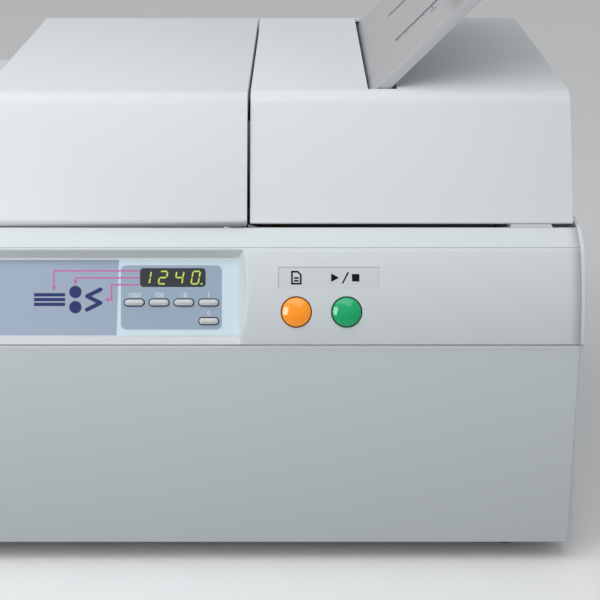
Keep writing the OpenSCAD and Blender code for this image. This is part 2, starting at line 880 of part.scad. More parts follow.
module display_module() {
    digits = 4;
    color(smoked_black) on_face() translate([window_x, window_a, 0]) {
        translate([-window_w / 2 + 1, -window_h / 2 + 0.5, board_top])
            cube([window_w - 2, window_h - 1, recess_back - 2 - board_top - 0.5]);
        for (i = [0:digits - 1])
            translate([(i - (digits - 1) / 2) * digit_pitch - 3.5, -digit_h / 2, recess_back - 2.5])
                cube([7, digit_h, 0.5]);
    }
}

module panel_board() {
    tact = 6;
    color(board_green) on_face() {
        difference() {
            block([window_x - 42, 6, board_b], [start_x + 36, face_h - 8, board_top]);
            for (x = board_posts_x) for (a = board_posts_a)
                translate([x, a, board_b - 1]) cylinder(r = 1.6, h = board_t + 2);
        }
        for (i = [0:4]) at_key(i) translate([-tact / 2, -tact / 2, board_top])
            cube([tact, tact, recess_back - slide_fit - key_flange_t - key_travel - 0.4 - board_top]);
        for (x = [test_x, start_x]) translate([x, button_a, board_top])
            cylinder(r = button_r - 3, h = button_bottom - button_travel - 0.4 - board_top);
    }
}

// Underside of a push button's skirt
button_bottom = button_seat_b - slide_fit - button_flange_t;

// A push button with a domed cap and the flange that keeps it in
module push_button(x) {
    dome_drop = sqrt(button_dome_r * button_dome_r - button_r * button_r);
    on_face() translate([x, button_a, 0]) {
        translate([0, 0, button_bottom]) cylinder(r = button_r + button_flange, h = button_flange_t);
        translate([0, 0, button_bottom]) cylinder(r = button_r, h = button_rim - button_bottom);
        translate([0, 0, button_rim - dome_drop]) intersection() {
            sphere(button_dome_r, $fn = 96);
            translate([0, 0, dome_drop]) cylinder(r = button_r, h = button_dome_r);
        }
    }
}

module test_button() {
    color(button_orange) push_button(test_x);
}

module start_stop_button() {
    color(button_green) push_button(start_x);
}

// A key with round ends, and the flange that keeps it in
module key(i) {
    flange_b = recess_back - slide_fit - key_flange_t;
    color(key_white) on_face() at_key(i) {
        translate([0, 0, flange_b]) linear_extrude(key_flange_t)
            stadium(key_l + 2 * key_flange, key_w + 2 * key_flange);
        translate([0, 0, flange_b]) linear_extrude(panel_top + key_proud - 1 - flange_b)
            stadium(key_l, key_w);
        translate([0, 0, flange_b]) linear_extrude(panel_top + key_proud - flange_b)
            stadium(key_l - 1.2, key_w - 1.2);
    }
}

module key_thousands() {
    key(0);
}

module key_hundreds() {
    key(1);
}

module key_tens() {
    key(2);
}

module key_units() {
    key(3);
}

module key_reset() {
    key(4);
}

// Hoods

// Side view of a hood, moved inwards; the lower edge is at z and the front stands out by out
function hood_points(z, inset, roll = 0, out = 0) =
    let (
        side = inset / cos(hood_lean),
        low = hood_y - side,
        high = hood_top_y - side + inset * tan(hood_lean),
        edge = max(0.5, hood_round - inset)
    )
    rounded([[-low - out, z], [-high - out, hood_top_z - inset], [high, hood_top_z - inset], [low, z]],
        [roll, edge, edge, min(roll, fold_hood_roll)], 8);

// A hood's shell; where its front stands out, its lower edge is a solid bead
module hood_shell(from, to, z, roll, out) {
    bead_w = 2.7 * roll;
    bead_h = 1.5 * roll;
    difference() {
        along_x(from, to) polygon(hood_points(z, 0, roll, out));
        along_x(from + wall, to - wall) difference() {
            polygon(hood_points(z - 1, wall, 0, out));
            if (out > 0) translate([-hood_y - out, z - 2]) square([bead_w, bead_h + 2]);
        }
    }
}

// Room in a hood's end wall for the side frames and the rear drive
module hood_end_cut(from, to, z, top) {
    along_x(from, to) intersection() {
        polygon(hood_points(z - 1, wall));
        translate([-frame_out - 3, z - 1]) square([frame_out + 3 + hood_y, top - z + 1]);
    }
}

module feed_hood() {
    z = deck_z + feed_hood_lift;
    color(cover_grey) difference() {
        union() {
            hood_shell(feed_hood_x0, feed_hood_x1, z, feed_hood_roll, feed_hood_out);
            for (x = hinge_lug_x) {
                bar_x(hinge_y, hinge_z, lug_r, x, x + lug_w);
                block([x, hood_y - 6, hinge_z - 3], [x + lug_w, hinge_y, hinge_z + lug_r]);
            }
        }
        block([feed_hood_x0 - 1, -frame_out - 4, z - 1],
            [feed_hood_x0 + wall + 1, frame_out + 4, frame_high_z - 6]);
        for (x = hinge_lug_x) {
            bar_x(hinge_y, hinge_z, hinge_pin_r + run_fit, x - 1, x + lug_w + 1);
            along_x(x - 1, x + lug_w + 1) intersection() {
                polygon(hood_points(z - 1, wall));
                translate([0, z - 1]) square([hood_y, hood_h]);
            }
        }
        hood_end_cut(feed_hood_x1 - wall - 1, feed_hood_x1 + 1, z, frame_high_z + 4);
    }
}

module hood_hinge_brackets() {
    gap = 1;
    color(steel) for (x = hinge_lug_x) difference() {
        union() {
            bar_x(hinge_y, hinge_z, lug_r - 0.5, x + lug_w + gap, x + 2 * lug_w + gap);
            block([x + lug_w + gap, hinge_y - lug_r + 1, deck_z],
                [x + 2 * lug_w + gap, hinge_y + lug_r + 6, deck_z + 3]);
            block([x + lug_w + gap, hinge_y - lug_r + 1, deck_z],
                [x + 2 * lug_w + gap, hinge_y + lug_r - 1, hinge_z]);
        }
        bar_x(hinge_y, hinge_z, hinge_pin_r, x, x + 3 * lug_w);
    }
}

module hood_hinge_pins() {
    color(steel) for (x = hinge_lug_x)
        bar_x(hinge_y, hinge_z, hinge_pin_r, x - 2, x + 2 * lug_w + 3);
}

module fold_hood() {
    z = deck_z + fold_hood_lift;
    post = 12;
    color(cover_grey) difference() {
        union() {
            hood_shell(fold_hood_x0, fold_hood_x1, z, fold_hood_roll, 0);
            for (x = [fold_hood_x0 + wall, frame_shoulder_x - post - 4]) for (y = [-1, 1])
                block([x, y * (frame_in + frame_t / 2) - frame_t, frame_high_z],
                    [x + post, y * (frame_in + frame_t / 2) + frame_t, hood_top_z - wall]);
        }
        block([hood_slot_x - hood_slot_half, -plate_w / 2 - 4, hood_top_z - wall - 1],
            [hood_slot_x + hood_slot_half, plate_w / 2 + 4, hood_top_z + 1]);
        hood_end_cut(fold_hood_x0 - 1, fold_hood_x0 + wall, z, frame_high_z);
    }
}

// Rollers and gears

// A roller of the folding unit with its shaft, which runs out to the rear
module fold_roller(x, z, rear_end) {
    color(rubber_black) {
        bar_y(x, z, roller_r, -roller_l / 2, roller_l / 2);
        bar_y(x, z, shaft_r, -shaft_end, rear_end);
    }
}

module fold_roller_upper() {
    fold_roller(centre_x, centre_z + pitch, gear_y + gear_w + 0.5);
}

module fold_roller_centre() {
    fold_roller(centre_x, centre_z, pulley_y + pulley_w + 1);
}

module fold_roller_side() {
    fold_roller(centre_x + pitch, centre_z, gear_y + gear_w + 0.5);
}

module fold_roller_lower() {
    fold_roller(centre_x, centre_z - pitch, gear_y + gear_w + 0.5);
}

// A roller gear; turned by half a tooth, it meshes with one that isn't
module roller_gear(x, z, turn) {
    color("ivory") translate([x, 0, z]) along_y(gear_y, gear_y + gear_w) difference() {
        rotate(turn) polygon(gear_points);
        circle(shaft_r);
    }
}

half_tooth = 180 / gear_teeth;

module upper_roller_gear() {
    roller_gear(centre_x, centre_z + pitch, half_tooth);
}

module centre_roller_gear() {
    roller_gear(centre_x, centre_z, 0);
}

module side_roller_gear() {
    roller_gear(centre_x + pitch, centre_z, half_tooth);
}

module lower_roller_gear() {
    roller_gear(centre_x, centre_z - pitch, half_tooth);
}

// A shaft with three rubber tyres
module tyred_roller(x, z, r) {
    color(rubber_black) {
        for (i = [-1:1]) bar_y(x, z, r, i * tyre_pitch - tyre_w / 2, i * tyre_pitch + tyre_w / 2);
        bar_y(x, z, shaft_r, -shaft_end, shaft_end);
    }
}

module feed_roller() {
    tyred_roller(feed_x, feed_z, feed_r);
}

module pickup_roller() {
    tyred_roller(pickup_x, pickup_z, pickup_r);
}

module separator_pad() {
    low = tie_places[0][1] + tie_r;
    half = 13;
    color("sienna") difference() {
        block([feed_x - half, -tyre_w / 2, low - 3], [feed_x + half, tyre_w / 2, feed_z - feed_r - slide_fit]);
        bar_y(feed_x, tie_places[0][1], tie_r, -tyre_w, tyre_w);
    }
}

// Drive

// Points of an arc about c, between two headings in degrees
function arc(c, r, from, to) = [
    for (i = [0:belt_steps]) let (t = from + (to - from) * i / belt_steps) c + r * [cos(t), sin(t)]
];

// Outline round two pulleys, with straight runs between them
module belt_outline(r_a, r_b) {
    way = [motor_x - centre_x, motor_z - centre_z];
    heading = atan2(way[1], way[0]);
    touch = acos((r_a - r_b) / norm(way));
    polygon(concat(
        arc([centre_x, centre_z], r_a, heading + touch, heading - touch + 360),
        arc([motor_x, motor_z], r_b, heading - touch, heading + touch)
    ));
}

module drive_belt() {
    color(rubber_black) along_y(pulley_y + 1, pulley_y + pulley_w - 1) difference() {
        belt_outline(pulley_r + belt_run + belt_t, motor_pulley_r + belt_run + belt_t);
        belt_outline(pulley_r + belt_run, motor_pulley_r + belt_run);
    }
}

module drive_pulley() {
    hub_r = shaft_r + 7;
    color("dimgray") translate([centre_x, 0, centre_z]) along_y(pulley_y, pulley_y + pulley_w)
        difference() {
            circle(pulley_r);
            circle(shaft_r);
            for (i = [0:4]) rotate(i * 72) translate([(pulley_r + hub_r) / 2 - 1, 0])
                circle((pulley_r - hub_r) / 2 - 4);
        }
}

module drive_motor() {
    flange_t = 4;
    color("dimgray") difference() {
        union() {
            bar_y(motor_x, motor_z, motor_r, frame_in - flange_t - motor_l, frame_in - flange_t);
            bar_y(motor_x, motor_z, motor_r + 4, frame_in - flange_t, frame_in);
        }
        bar_y(motor_x, motor_z, motor_shaft_r + run_fit, frame_in - 20, frame_in + 1);
    }
}

module motor_pulley() {
    color("dimgray") {
        bar_y(motor_x, motor_z, motor_shaft_r, frame_in - 19, pulley_y);
        bar_y(motor_x, motor_z, motor_pulley_r, pulley_y, pulley_y + pulley_w);
    }
}

// Feed table and guides

module feed_table() {
    slot = guide_post + 2;
    color(cover_grey) difference() {
        union() {
            block([table_x0, -table_half_w, table_z], [table_step_x, table_half_w, table_top]);
            block([table_step_x, -frame_in + 4, table_z], [table_tongue_x, frame_in - 4, table_top]);
            block([table_x0, -table_half_w, table_z - table_skirt],
                [table_x0 + wall, table_half_w, table_z]);
            for (y = [-table_half_w, table_half_w - wall])
                block([table_x0, y, table_z - table_skirt], [x0 - 6, y + wall, table_z]);
        }
        for (y = [-1, 1]) {
            mid = y * (paper_w / 2 + guide_t + guide_foot / 2);
            reach = guide_travel + guide_post / 2 + 1;
            block([guide_post_x - slot / 2, mid - reach, table_z - 1],
                [guide_post_x + slot / 2, mid + reach, table_top + 1]);
        }
    }
}

// A paper guide: a fence on a foot, with the post that runs in the table's slot
module paper_guide(side) {
    foot_t = 2;
    z = table_top + slide_fit;
    y = paper_w / 2;
    color(key_white) mirror([0, side < 0 ? 1 : 0, 0]) {
        block([guide_x0, y, z], [guide_x0 + guide_l, y + guide_t, z + guide_h]);
        block([guide_x0, y + guide_t, z], [guide_x0 + guide_l, y + guide_t + guide_foot, z + foot_t]);
        block([guide_post_x - guide_post / 2, y + guide_t + guide_foot / 2 - guide_post / 2, table_z - 8],
            [guide_post_x + guide_post / 2, y + guide_t + guide_foot / 2 + guide_post / 2, z]);
    }
}

module front_paper_guide() {
    paper_guide(-1);
}

module rear_paper_guide() {
    paper_guide(1);
}

// Fold plates and stops

// Two sheets with rails between them, pins at the sides and slots for a stop's fingers
module fold_plate(l, pins, slot_from, slot_to) {
    half_w = plate_w / 2;
    difference() {
        union() {
            for (n = [-plate_half, sheet_gap / 2])
                block([plate_u0, -half_w, n], [plate_u0 + l, half_w, n + sheet_t]);
            for (y = [-half_w, half_w - plate_rail])
                block([plate_u0, y, -sheet_gap / 2], [plate_u0 + l, y + plate_rail, sheet_gap / 2]);
            block([plate_u0 + l - 4, -half_w, -sheet_gap / 2], [plate_u0 + l, half_w, sheet_gap / 2]);
            for (u = pins) bar_y(u, 0, plate_pin_r, -frame_in, -half_w);
            for (u = pins) bar_y(u, 0, plate_pin_r, half_w, frame_in);
        }
        for (y = [-slot_y, slot_y])
            block([slot_from, y - slot_w / 2, 0], [slot_to, y + slot_w / 2, plate_half + 1]);
    }
}

// A stop: a carriage on the plate, and fingers in the gap that carry the stop bar
module fold_stop(u) {
    inner = sheet_gap / 2 - 0.4;
    bar = 6;
    half_w = plate_w / 2 - plate_rail - 8;
    top = plate_half + slide_fit;
    for (y = [-slot_y, slot_y]) {
        block([u - stop_finger_l, y - finger_w / 2, -inner], [u + 5, y + finger_w / 2, inner]);
        block([u - 5, y - finger_w / 2, inner], [u + 5, y + finger_w / 2, top]);
    }
    block([u - stop_finger_l - bar, -half_w, -inner], [u - stop_finger_l, half_w, inner]);
    block([u - carriage_l / 2, -carriage_half_w, top],
        [u + carriage_l / 2, carriage_half_w, top + carriage_h]);
}

module upper_fold_plate() {
    color(steel) on_upper_plate() fold_plate(upper_l, plate_pin_u,
        upper_stop_u - upper_travel[0] - 8, upper_stop_u + upper_travel[1] + 8);
}

module upper_fold_stop() {
    hole_from = plate_half + slide_fit + 1.5;
    color(smoked_black) on_upper_plate() difference() {
        fold_stop(upper_stop_u);
        translate([upper_stop_u, 0, hole_from]) cylinder(r = stud_r + run_fit, h = carriage_h);
    }
}

module upper_stop_knob() {
    top = plate_half + slide_fit + carriage_h;
    grips = 12;
    color(smoked_black) on_upper_plate() translate([upper_stop_u, 0, 0]) {
        translate([0, 0, plate_half + slide_fit + 2]) cylinder(r = stud_r, h = carriage_h);
        translate([0, 0, top + slide_fit]) linear_extrude(knob_h) difference() {
            circle(knob_r);
            for (i = [0:grips - 1]) rotate(i * 360 / grips) translate([knob_r + 1, 0]) circle(2);
        }
    }
}

module lower_fold_plate() {
    color(steel) on_lower_plate() fold_plate(lower_l, lower_pin_u,
        lower_stop_u - lower_travel[0] - 8, lower_stop_u + lower_travel[1] + 8);
}

module lower_fold_stop() {
    grip_h = 18;
    grip_half_w = 20;
    top = plate_half + slide_fit + carriage_h;
    color(smoked_black) on_lower_plate() {
        fold_stop(lower_stop_u);
        block([lower_stop_u - carriage_l / 2, -grip_half_w, top],
            [lower_stop_u - 1, grip_half_w, top + grip_h]);
    }
}

// Delivery

module delivery_chute() {
    way = chute_end - chute_top;
    across = unit([-way[1], way[0]]) * chute_t;
    color(steel) along_y(-frame_in, frame_in)
        polygon([chute_top, chute_end, chute_end + across, chute_top + across]);
}

module delivery_tray() {
    color(cover_grey) difference() {
        union() {
            for (y = [-frame_in, rail_in])
                block([tray_x0, y, rail_z0], [tray_x1, y + rail_t, rail_z1]);
            block([idler_x + delivery_r + 6, -rail_in, deck_plate_z],
                [tray_x1, rail_in, deck_plate_z + deck_plate_t]);
        }
        bar_y(idler_x, tray_z, delivery_shaft_r + run_fit, -frame_in - 1, frame_in + 1);
    }
}

module delivery_drive_roller() {
    color(rubber_black) {
        bar_y(delivery_x, tray_z, delivery_r, -rail_in + 1, rail_in - 1);
        bar_y(delivery_x, tray_z, shaft_r, -shaft_end, shaft_end);
    }
}

module delivery_idler_roller() {
    color(rubber_black) {
        bar_y(idler_x, tray_z, delivery_r, -rail_in + 1, rail_in - 1);
        bar_y(idler_x, tray_z, delivery_shaft_r, -frame_in, frame_in);
    }
}

// Outline round the two delivery rollers
module delivery_loop(r) {
    for (x = [idler_x, delivery_x]) translate([x, tray_z]) circle(r);
    translate([idler_x, tray_z - r]) square([delivery_x - idler_x, 2 * r]);
}

module delivery_belts() {
    color("dimgray") for (i = [-1.5:1.5])
        along_y(i * delivery_belt_pitch - delivery_belt_w / 2, i * delivery_belt_pitch + delivery_belt_w / 2)
            difference() {
                delivery_loop(belt_out_r);
                delivery_loop(belt_in_r);
            }
}

module stacker() {
    wheel_z = tray_z + belt_out_r + slide_fit + stacker_wheel_r;
    bar_h = 8;
    arm = 10;
    wheel_w = 16;
    wheel_y = delivery_belt_pitch * 1.5;
    color(key_white) {
        for (y = [-frame_in, rail_in])
            block([stacker_x - stacker_leg / 2, y, rail_z1 + slide_fit],
                [stacker_x + stacker_leg / 2, y + rail_t, stacker_bar_z]);
        block([stacker_x - stacker_leg / 2, -frame_in, stacker_bar_z],
            [stacker_x + stacker_leg / 2, frame_in, stacker_bar_z + bar_h]);
        for (y = [-wheel_y, wheel_y]) {
            block([stacker_x - arm / 2, y - arm / 2, wheel_z], [stacker_x + arm / 2, y + arm / 2, stacker_bar_z]);
            bar_y(stacker_x, wheel_z, stacker_wheel_r, y - wheel_w / 2, y + wheel_w / 2);
        }
    }
}

// Electrics

module control_board() {
    low = [feed_x - control_w / 2, floor_z + control_lift];
    high = low + [control_w, control_h];
    face = -frame_out - control_standoff;
    post_inset = 8;
    post_r = 3;
    edge = 20;
    block_w = 42;
    block_t = 26;
    can_r = 9;
    can_h = 24;
    can_pitch = 26;
    plug_w = 12;
    plug_t = 14;
    color(board_green) {
        block([low[0], face - board_t, low[1]], [high[0], face, high[1]]);
        for (x = [low[0] + post_inset, high[0] - post_inset])
            for (z = [low[1] + post_inset, high[1] - post_inset]) bar_y(x, z, post_r, face, -frame_out);
        block([low[0] + edge, face - block_t, low[1] + edge],
            [low[0] + edge + block_w, face - board_t, low[1] + edge + block_w]);
        for (i = [1:3]) bar_y(low[0] + edge + block_w + i * can_pitch, low[1] + 2 * edge, can_r,
            face - can_h, face - board_t);
        block([low[0] + edge, face - plug_t, high[1] - edge - plug_w],
            [high[0] - edge, face - board_t, high[1] - edge]);
    }
}

// A mains inlet with a rocker above it, in one housing
module power_inlet() {
    depth = 30;
    flange = 4;
    pin_w = 2;
    pin_h = 4;
    color(smoked_black) {
        difference() {
            union() {
                block([power_x - power_w / 2, rear_y - depth, power_z - power_h / 2],
                    [power_x + power_w / 2, rear_y, power_z + power_h / 2]);
                block([power_x - power_w / 2 - flange, rear_y, power_z - power_h / 2 - flange],
                    [power_x + power_w / 2 + flange, half_d, power_z + power_h / 2 + flange]);
            }
            block([power_x - socket_w / 2, rear_y - 16, socket_z - socket_h / 2],
                [power_x + socket_w / 2, half_d + 1, socket_z + socket_h / 2]);
            block([power_x - rocker_w / 2 - slide_fit, rear_y - 18, rocker_z - rocker_h / 2 - 1],
                [power_x + rocker_w / 2 + slide_fit, half_d + 1, rocker_z + rocker_h / 2 + 1]);
            bar_x(rocker_y, rocker_z, rocker_pin_r + run_fit, power_x - power_w / 2 + 3, power_x + power_w / 2 - 3);
        }
        for (x = [-7, 0, 7])
            block([power_x + x - pin_w / 2, rear_y - 16, socket_z - pin_h / 2 + (x == 0 ? 2 : -1)],
                [power_x + x + pin_w / 2, rear_y - 6, socket_z + pin_h / 2 + (x == 0 ? 2 : -1)]);
    }
}

module power_switch() {
    swing = 8;
    face = power_flange_t + 2.9;
    back = 6;
    half_h = rocker_h / 2 - 0.5;
    color(rubber_black) {
        along_x(power_x - rocker_w / 2, power_x + rocker_w / 2)
            translate([rocker_y, rocker_z]) rotate(swing) polygon([
                [-back, -half_h + 2], [face, -half_h], [face - 1.2, 0], [face, half_h], [-back, half_h - 2]
            ]);
        bar_x(rocker_y, rocker_z, rocker_pin_r, power_x - power_w / 2 + 3.2, power_x + power_w / 2 - 3.2);
    }
}

// The machine

base_plate();
rubber_feet();
front_side_frame();
rear_side_frame();
tie_bars();
lower_front_cover();
console_housing();
display_panel();
display_window();
display_module();
panel_board();
legend_strip();
test_button();
start_stop_button();
key_thousands();
key_hundreds();
key_tens();
key_units();
key_reset();
feed_hood();
hood_hinge_brackets();
hood_hinge_pins();
fold_hood();
rear_cover();
left_cover();
right_cover();
cover_screws();
feed_table();
front_paper_guide();
rear_paper_guide();
pickup_roller();
feed_roller();
separator_pad();
fold_roller_upper();
fold_roller_centre();
fold_roller_side();
fold_roller_lower();
upper_roller_gear();
centre_roller_gear();
side_roller_gear();
lower_roller_gear();
roller_bushes();
drive_pulley();
drive_motor();
motor_pulley();
drive_belt();
upper_fold_plate();
upper_fold_stop();
upper_stop_knob();
lower_fold_plate();
lower_fold_stop();
delivery_chute();
delivery_tray();
delivery_drive_roller();
delivery_idler_roller();
delivery_belts();
stacker();
control_board();
power_inlet();
power_switch();
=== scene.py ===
"""Looks of a desktop paper folding machine: its console, hoods, tables and fold plates.

Lengths are metres in the frame of the solids: X along the machine, -Y to the operator, Z up.
Colours are written as they should look, as sRGB levels from 0 to 255.
"""

import functools
import json
import logging
import math
from dataclasses import dataclass
from enum import Enum
from typing import Callable, ClassVar, Iterable, Optional, Sequence, Union

import bmesh
import bpy
import numpy as np
from mathutils import Matrix, Vector


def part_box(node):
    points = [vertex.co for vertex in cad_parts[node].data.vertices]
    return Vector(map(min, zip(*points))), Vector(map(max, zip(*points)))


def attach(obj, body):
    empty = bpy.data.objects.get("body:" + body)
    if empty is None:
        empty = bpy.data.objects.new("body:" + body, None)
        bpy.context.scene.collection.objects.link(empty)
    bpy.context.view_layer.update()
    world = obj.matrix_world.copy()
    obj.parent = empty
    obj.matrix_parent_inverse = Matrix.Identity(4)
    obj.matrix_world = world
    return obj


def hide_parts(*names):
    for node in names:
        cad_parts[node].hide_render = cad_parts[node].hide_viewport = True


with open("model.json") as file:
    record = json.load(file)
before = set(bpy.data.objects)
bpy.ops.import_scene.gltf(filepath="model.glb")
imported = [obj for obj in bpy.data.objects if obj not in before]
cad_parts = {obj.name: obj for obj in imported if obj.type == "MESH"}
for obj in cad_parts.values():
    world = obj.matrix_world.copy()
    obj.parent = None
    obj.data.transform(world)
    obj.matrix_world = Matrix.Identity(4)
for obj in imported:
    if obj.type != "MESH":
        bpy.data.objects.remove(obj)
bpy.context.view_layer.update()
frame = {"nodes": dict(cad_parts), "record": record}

Pair = tuple[float, float]
Place = tuple[float, float, float]
Rgb = tuple[float, float, float]
Rgba = tuple[float, float, float, float]
Vec = Sequence[float]
Lift = Callable[[np.ndarray], np.ndarray]

LOG = logging.getLogger("folding_machine")
MM = 0.001
CM = 10.0 * MM
ROOT_BODY = "machine"
X_WAY, Y_WAY, Z_WAY = (1.0, 0.0, 0.0), (0.0, 1.0, 0.0), (0.0, 0.0, 1.0)
WELD = 0.002 * MM
SHARP, NEVER_SHARP = 40.0, 180.0
FLAT_TURN = math.radians(0.3)
ROUND_TURN = math.radians(35.0)
ROUND_STEPS = 4
HULL_SLACK = 0.02 * MM
GRAIN_SCALE, GRAIN_DEPTH, GRAIN_STRENGTH = 2600.0, 0.05 * MM, 0.12
BRUSH_SCALE, BRUSH_SWING = (30.0, 1500.0, 1500.0), 0.16
PRINT_LIFT = 0.03 * MM
INK_STEP = 0.004 * MM
SEAM_GAP = 1.5 * MM
FACE_TILT = math.radians(20.0)
PANEL_B = -5.7 * MM
WINDOW_A = 51.6 * MM
WINDOW_B = -5.8 * MM
WINDOW_FLANGE = 2.0 * MM
BUTTON_A = 25.0 * MM
BUTTON_STEPS = 96
SEAL_STEPS = 40
SLOT_Y, SLOT_REACH = 60.0 * MM, 6.0 * MM
SLOT_GAP = 1.5 * MM
GUIDE_TRAVEL = 32.0 * MM
GUIDE_GAP = 24.0 * MM
VIEW_TARGET = (0.1908, -0.2583, 0.2222)
VIEW_DISTANCE = 1.2
VIEW_LENS, VIEW_SENSOR = 93.5, 36.0

NODE_BODY: dict[str, str] = {
    node: body for body, nodes in frame["record"]["behaviour"]["bodies"].items() for node in nodes
}


def linear(colour: Rgb) -> Rgba:
    """Turn sRGB levels into the linear colour that a shader takes.

    Args:
        colour: Red, green and blue from 0 to 255.

    Returns:
        The linear colour with full alpha.
    """
    level = np.asarray(colour, dtype=float) / 255.0
    low = level / 12.92
    high = ((level + 0.055) / 1.055) ** 2.4
    return (*np.where(level <= 0.04045, low, high).tolist(), 1.0)


def laid(right: Vec, up: Vec, out: Vec, middle: Vec) -> Matrix:
    """Give the transform that lays a flat drawing along two directions, with its origin at a place."""
    return Matrix([*np.column_stack([right, up, out, middle]).tolist(), [0.0, 0.0, 0.0, 1.0]])


@dataclass(frozen=True)
class LeaningFace:
    """The console's leaning face: x along the machine, a up the face and b out of it."""

    front: float
    seam: float
    tilt: float

    @property
    def up(self) -> Place:
        """Give the direction up the face."""
        return (0.0, math.sin(self.tilt), math.cos(self.tilt))

    @property
    def out(self) -> Place:
        """Give the direction out of the face."""
        return (0.0, -math.cos(self.tilt), math.sin(self.tilt))

    @property
    def base(self) -> float:
        """Give how far up its own direction the face begins."""
        return self.front * math.sin(self.tilt) + self.seam * math.cos(self.tilt)

    def world(self, x: np.ndarray, a: np.ndarray, b: np.ndarray) -> np.ndarray:
        """Turn places on the face into places in the machine's frame.

        Args:
            x: Along the machine.
            a: Up the face.
            b: Out of the face.

        Returns:
            The places: y = front + a sin(tilt) - b cos(tilt), z = seam + a cos(tilt) + b sin(tilt).
        """
        x, a, b = np.broadcast_arrays(x, a, b)
        y = self.front + a * math.sin(self.tilt) - b * math.cos(self.tilt)
        z = self.seam + a * math.cos(self.tilt) + b * math.sin(self.tilt)
        return np.stack([x, y, z], axis=-1)

    def matrix(self, x: float, a: float, b: float) -> Matrix:
        """Give the transform that lays a flat drawing on the face, with its origin at a place."""
        return laid(X_WAY, self.up, self.out, self.world(x, a, b))


FACE = LeaningFace(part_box("console_housing")[0][1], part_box("lower_front_cover")[1][2] + SEAM_GAP, FACE_TILT)


def math_method(operation: str, turned: bool = False) -> Callable[..., "Level"]:
    """Make a method that joins a Level and another value by a Math node.

    Args:
        operation: The Math node's operation.
        turned: Whether the other value comes first.

    Returns:
        The method.
    """

    def method(self: "Level", other: object = 0.0) -> "Level":
        """Join the two values."""
        values = (other, self) if turned else (self, other)
        return self.graph.node("ShaderNodeMath", {"operation": operation}, dict(enumerate(values)))

    return method


class Level:
    """A value in a node tree that takes part in arithmetic; a comparison gives 1 or 0."""

    def __init__(self, graph: "Graph", socket: bpy.types.NodeSocket) -> None:
        """Keep the socket and the graph that it belongs to."""
        self.graph = graph
        self.socket = socket

    __add__ = math_method("ADD")
    __radd__ = math_method("ADD", turned=True)
    __sub__ = math_method("SUBTRACT")
    __mul__ = math_method("MULTIPLY")
    __rmul__ = math_method("MULTIPLY", turned=True)
    __truediv__ = math_method("DIVIDE")
    __abs__ = math_method("ABSOLUTE")
    __lt__ = math_method("LESS_THAN")
    __gt__ = math_method("GREATER_THAN")
    at_least = math_method("MAXIMUM")
    at_most = math_method("MINIMUM")
    root = math_method("SQRT")

    def kept(self) -> "Level":
        """Give the value kept between 0 and 1."""
        return self.at_least(0.0).at_most(1.0)


class Graph:
    """The node tree of a material, round one Principled shader, or of a world."""

    def __init__(self, owner: Union[bpy.types.Material, bpy.types.World]) -> None:
        """Switch the owner's nodes on and find its shader, which a world doesn't have.

        Args:
            owner: The material or world.
        """
        self.owner = owner
        owner.use_nodes = True
        self.tree = owner.node_tree
        self.shader = self.tree.nodes.get("Principled BSDF")

    def node(self, kind: str, settings: dict, inputs: dict, output: Union[int, str] = 0) -> Level:
        """Add a node.

        Args:
            kind: The node's type.
            settings: The node's own properties, set before its sockets.
            inputs: Values or links by socket name or number.
            output: The socket to give back.

        Returns:
            The chosen output.
        """
        made = self.tree.nodes.new(kind)
        for name, value in settings.items():
            setattr(made, name, value)
        for name, value in inputs.items():
            self.feed(made.inputs[name], value)
        return Level(self, made.outputs[output])

    def feed(self, socket: bpy.types.NodeSocket, value: object) -> None:
        """Link a Level to a socket, or set the socket's own value.

        Args:
            socket: The socket.
            value: The Level, or a plain value.
        """
        if isinstance(value, Level):
            self.tree.links.new(value.socket, socket)
        else:
            socket.default_value = value

    def place(self, kind: str = "Object") -> Level:
        """Give the piece's own coordinates, in metres, or those of another kind."""
        return self.node("ShaderNodeTexCoord", {}, {}, kind)

    def along(self, direction: Place, kind: str = "Object") -> Level:
        """Give how far a place lies along a direction."""
        return self.node("ShaderNodeVectorMath", {"operation": "DOT_PRODUCT"},
                         {0: self.place(kind), 1: direction}, "Value")

    def up_face(self) -> Level:
        """Give how far up the console's face a place lies."""
        return self.along(FACE.up) - FACE.base

    def noise(self, place: Level, scale: float) -> Level:
        """Give a cloudy pattern from 0 to 1."""
        return self.node("ShaderNodeTexNoise", {}, {"Vector": place, "Scale": scale})

    def seen(self) -> Level:
        """Give 1 to the rays that show the room: straight, mirrored or let through."""
        straight, mirrored, through = (self.node("ShaderNodeLightPath", {}, {}, f"Is {kind} Ray")
                                       for kind in ("Camera", "Glossy", "Transmission"))
        return straight.at_least(mirrored).at_least(through)

    def blend(self, factor: Level, base: Union[Level, Rgb], top: Union[Level, Rgb]) -> Level:
        """Mix two colours.

        Args:
            factor: 0 for the base, 1 for the top.
            base: sRGB levels or a Level.
            top: sRGB levels or a Level.

        Returns:
            The mixed colour.
        """
        first, second = (side if isinstance(side, Level) else linear(side) for side in (base, top))
        return self.node("ShaderNodeMix", {"data_type": "RGBA"}, {"Factor": factor, 6: first, 7: second}, 2)


class Grain(Enum):
    """How fine a surface is marked."""

    SMOOTH = "smooth"
    MOULDED = "moulded"
    BRUSHED = "brushed"


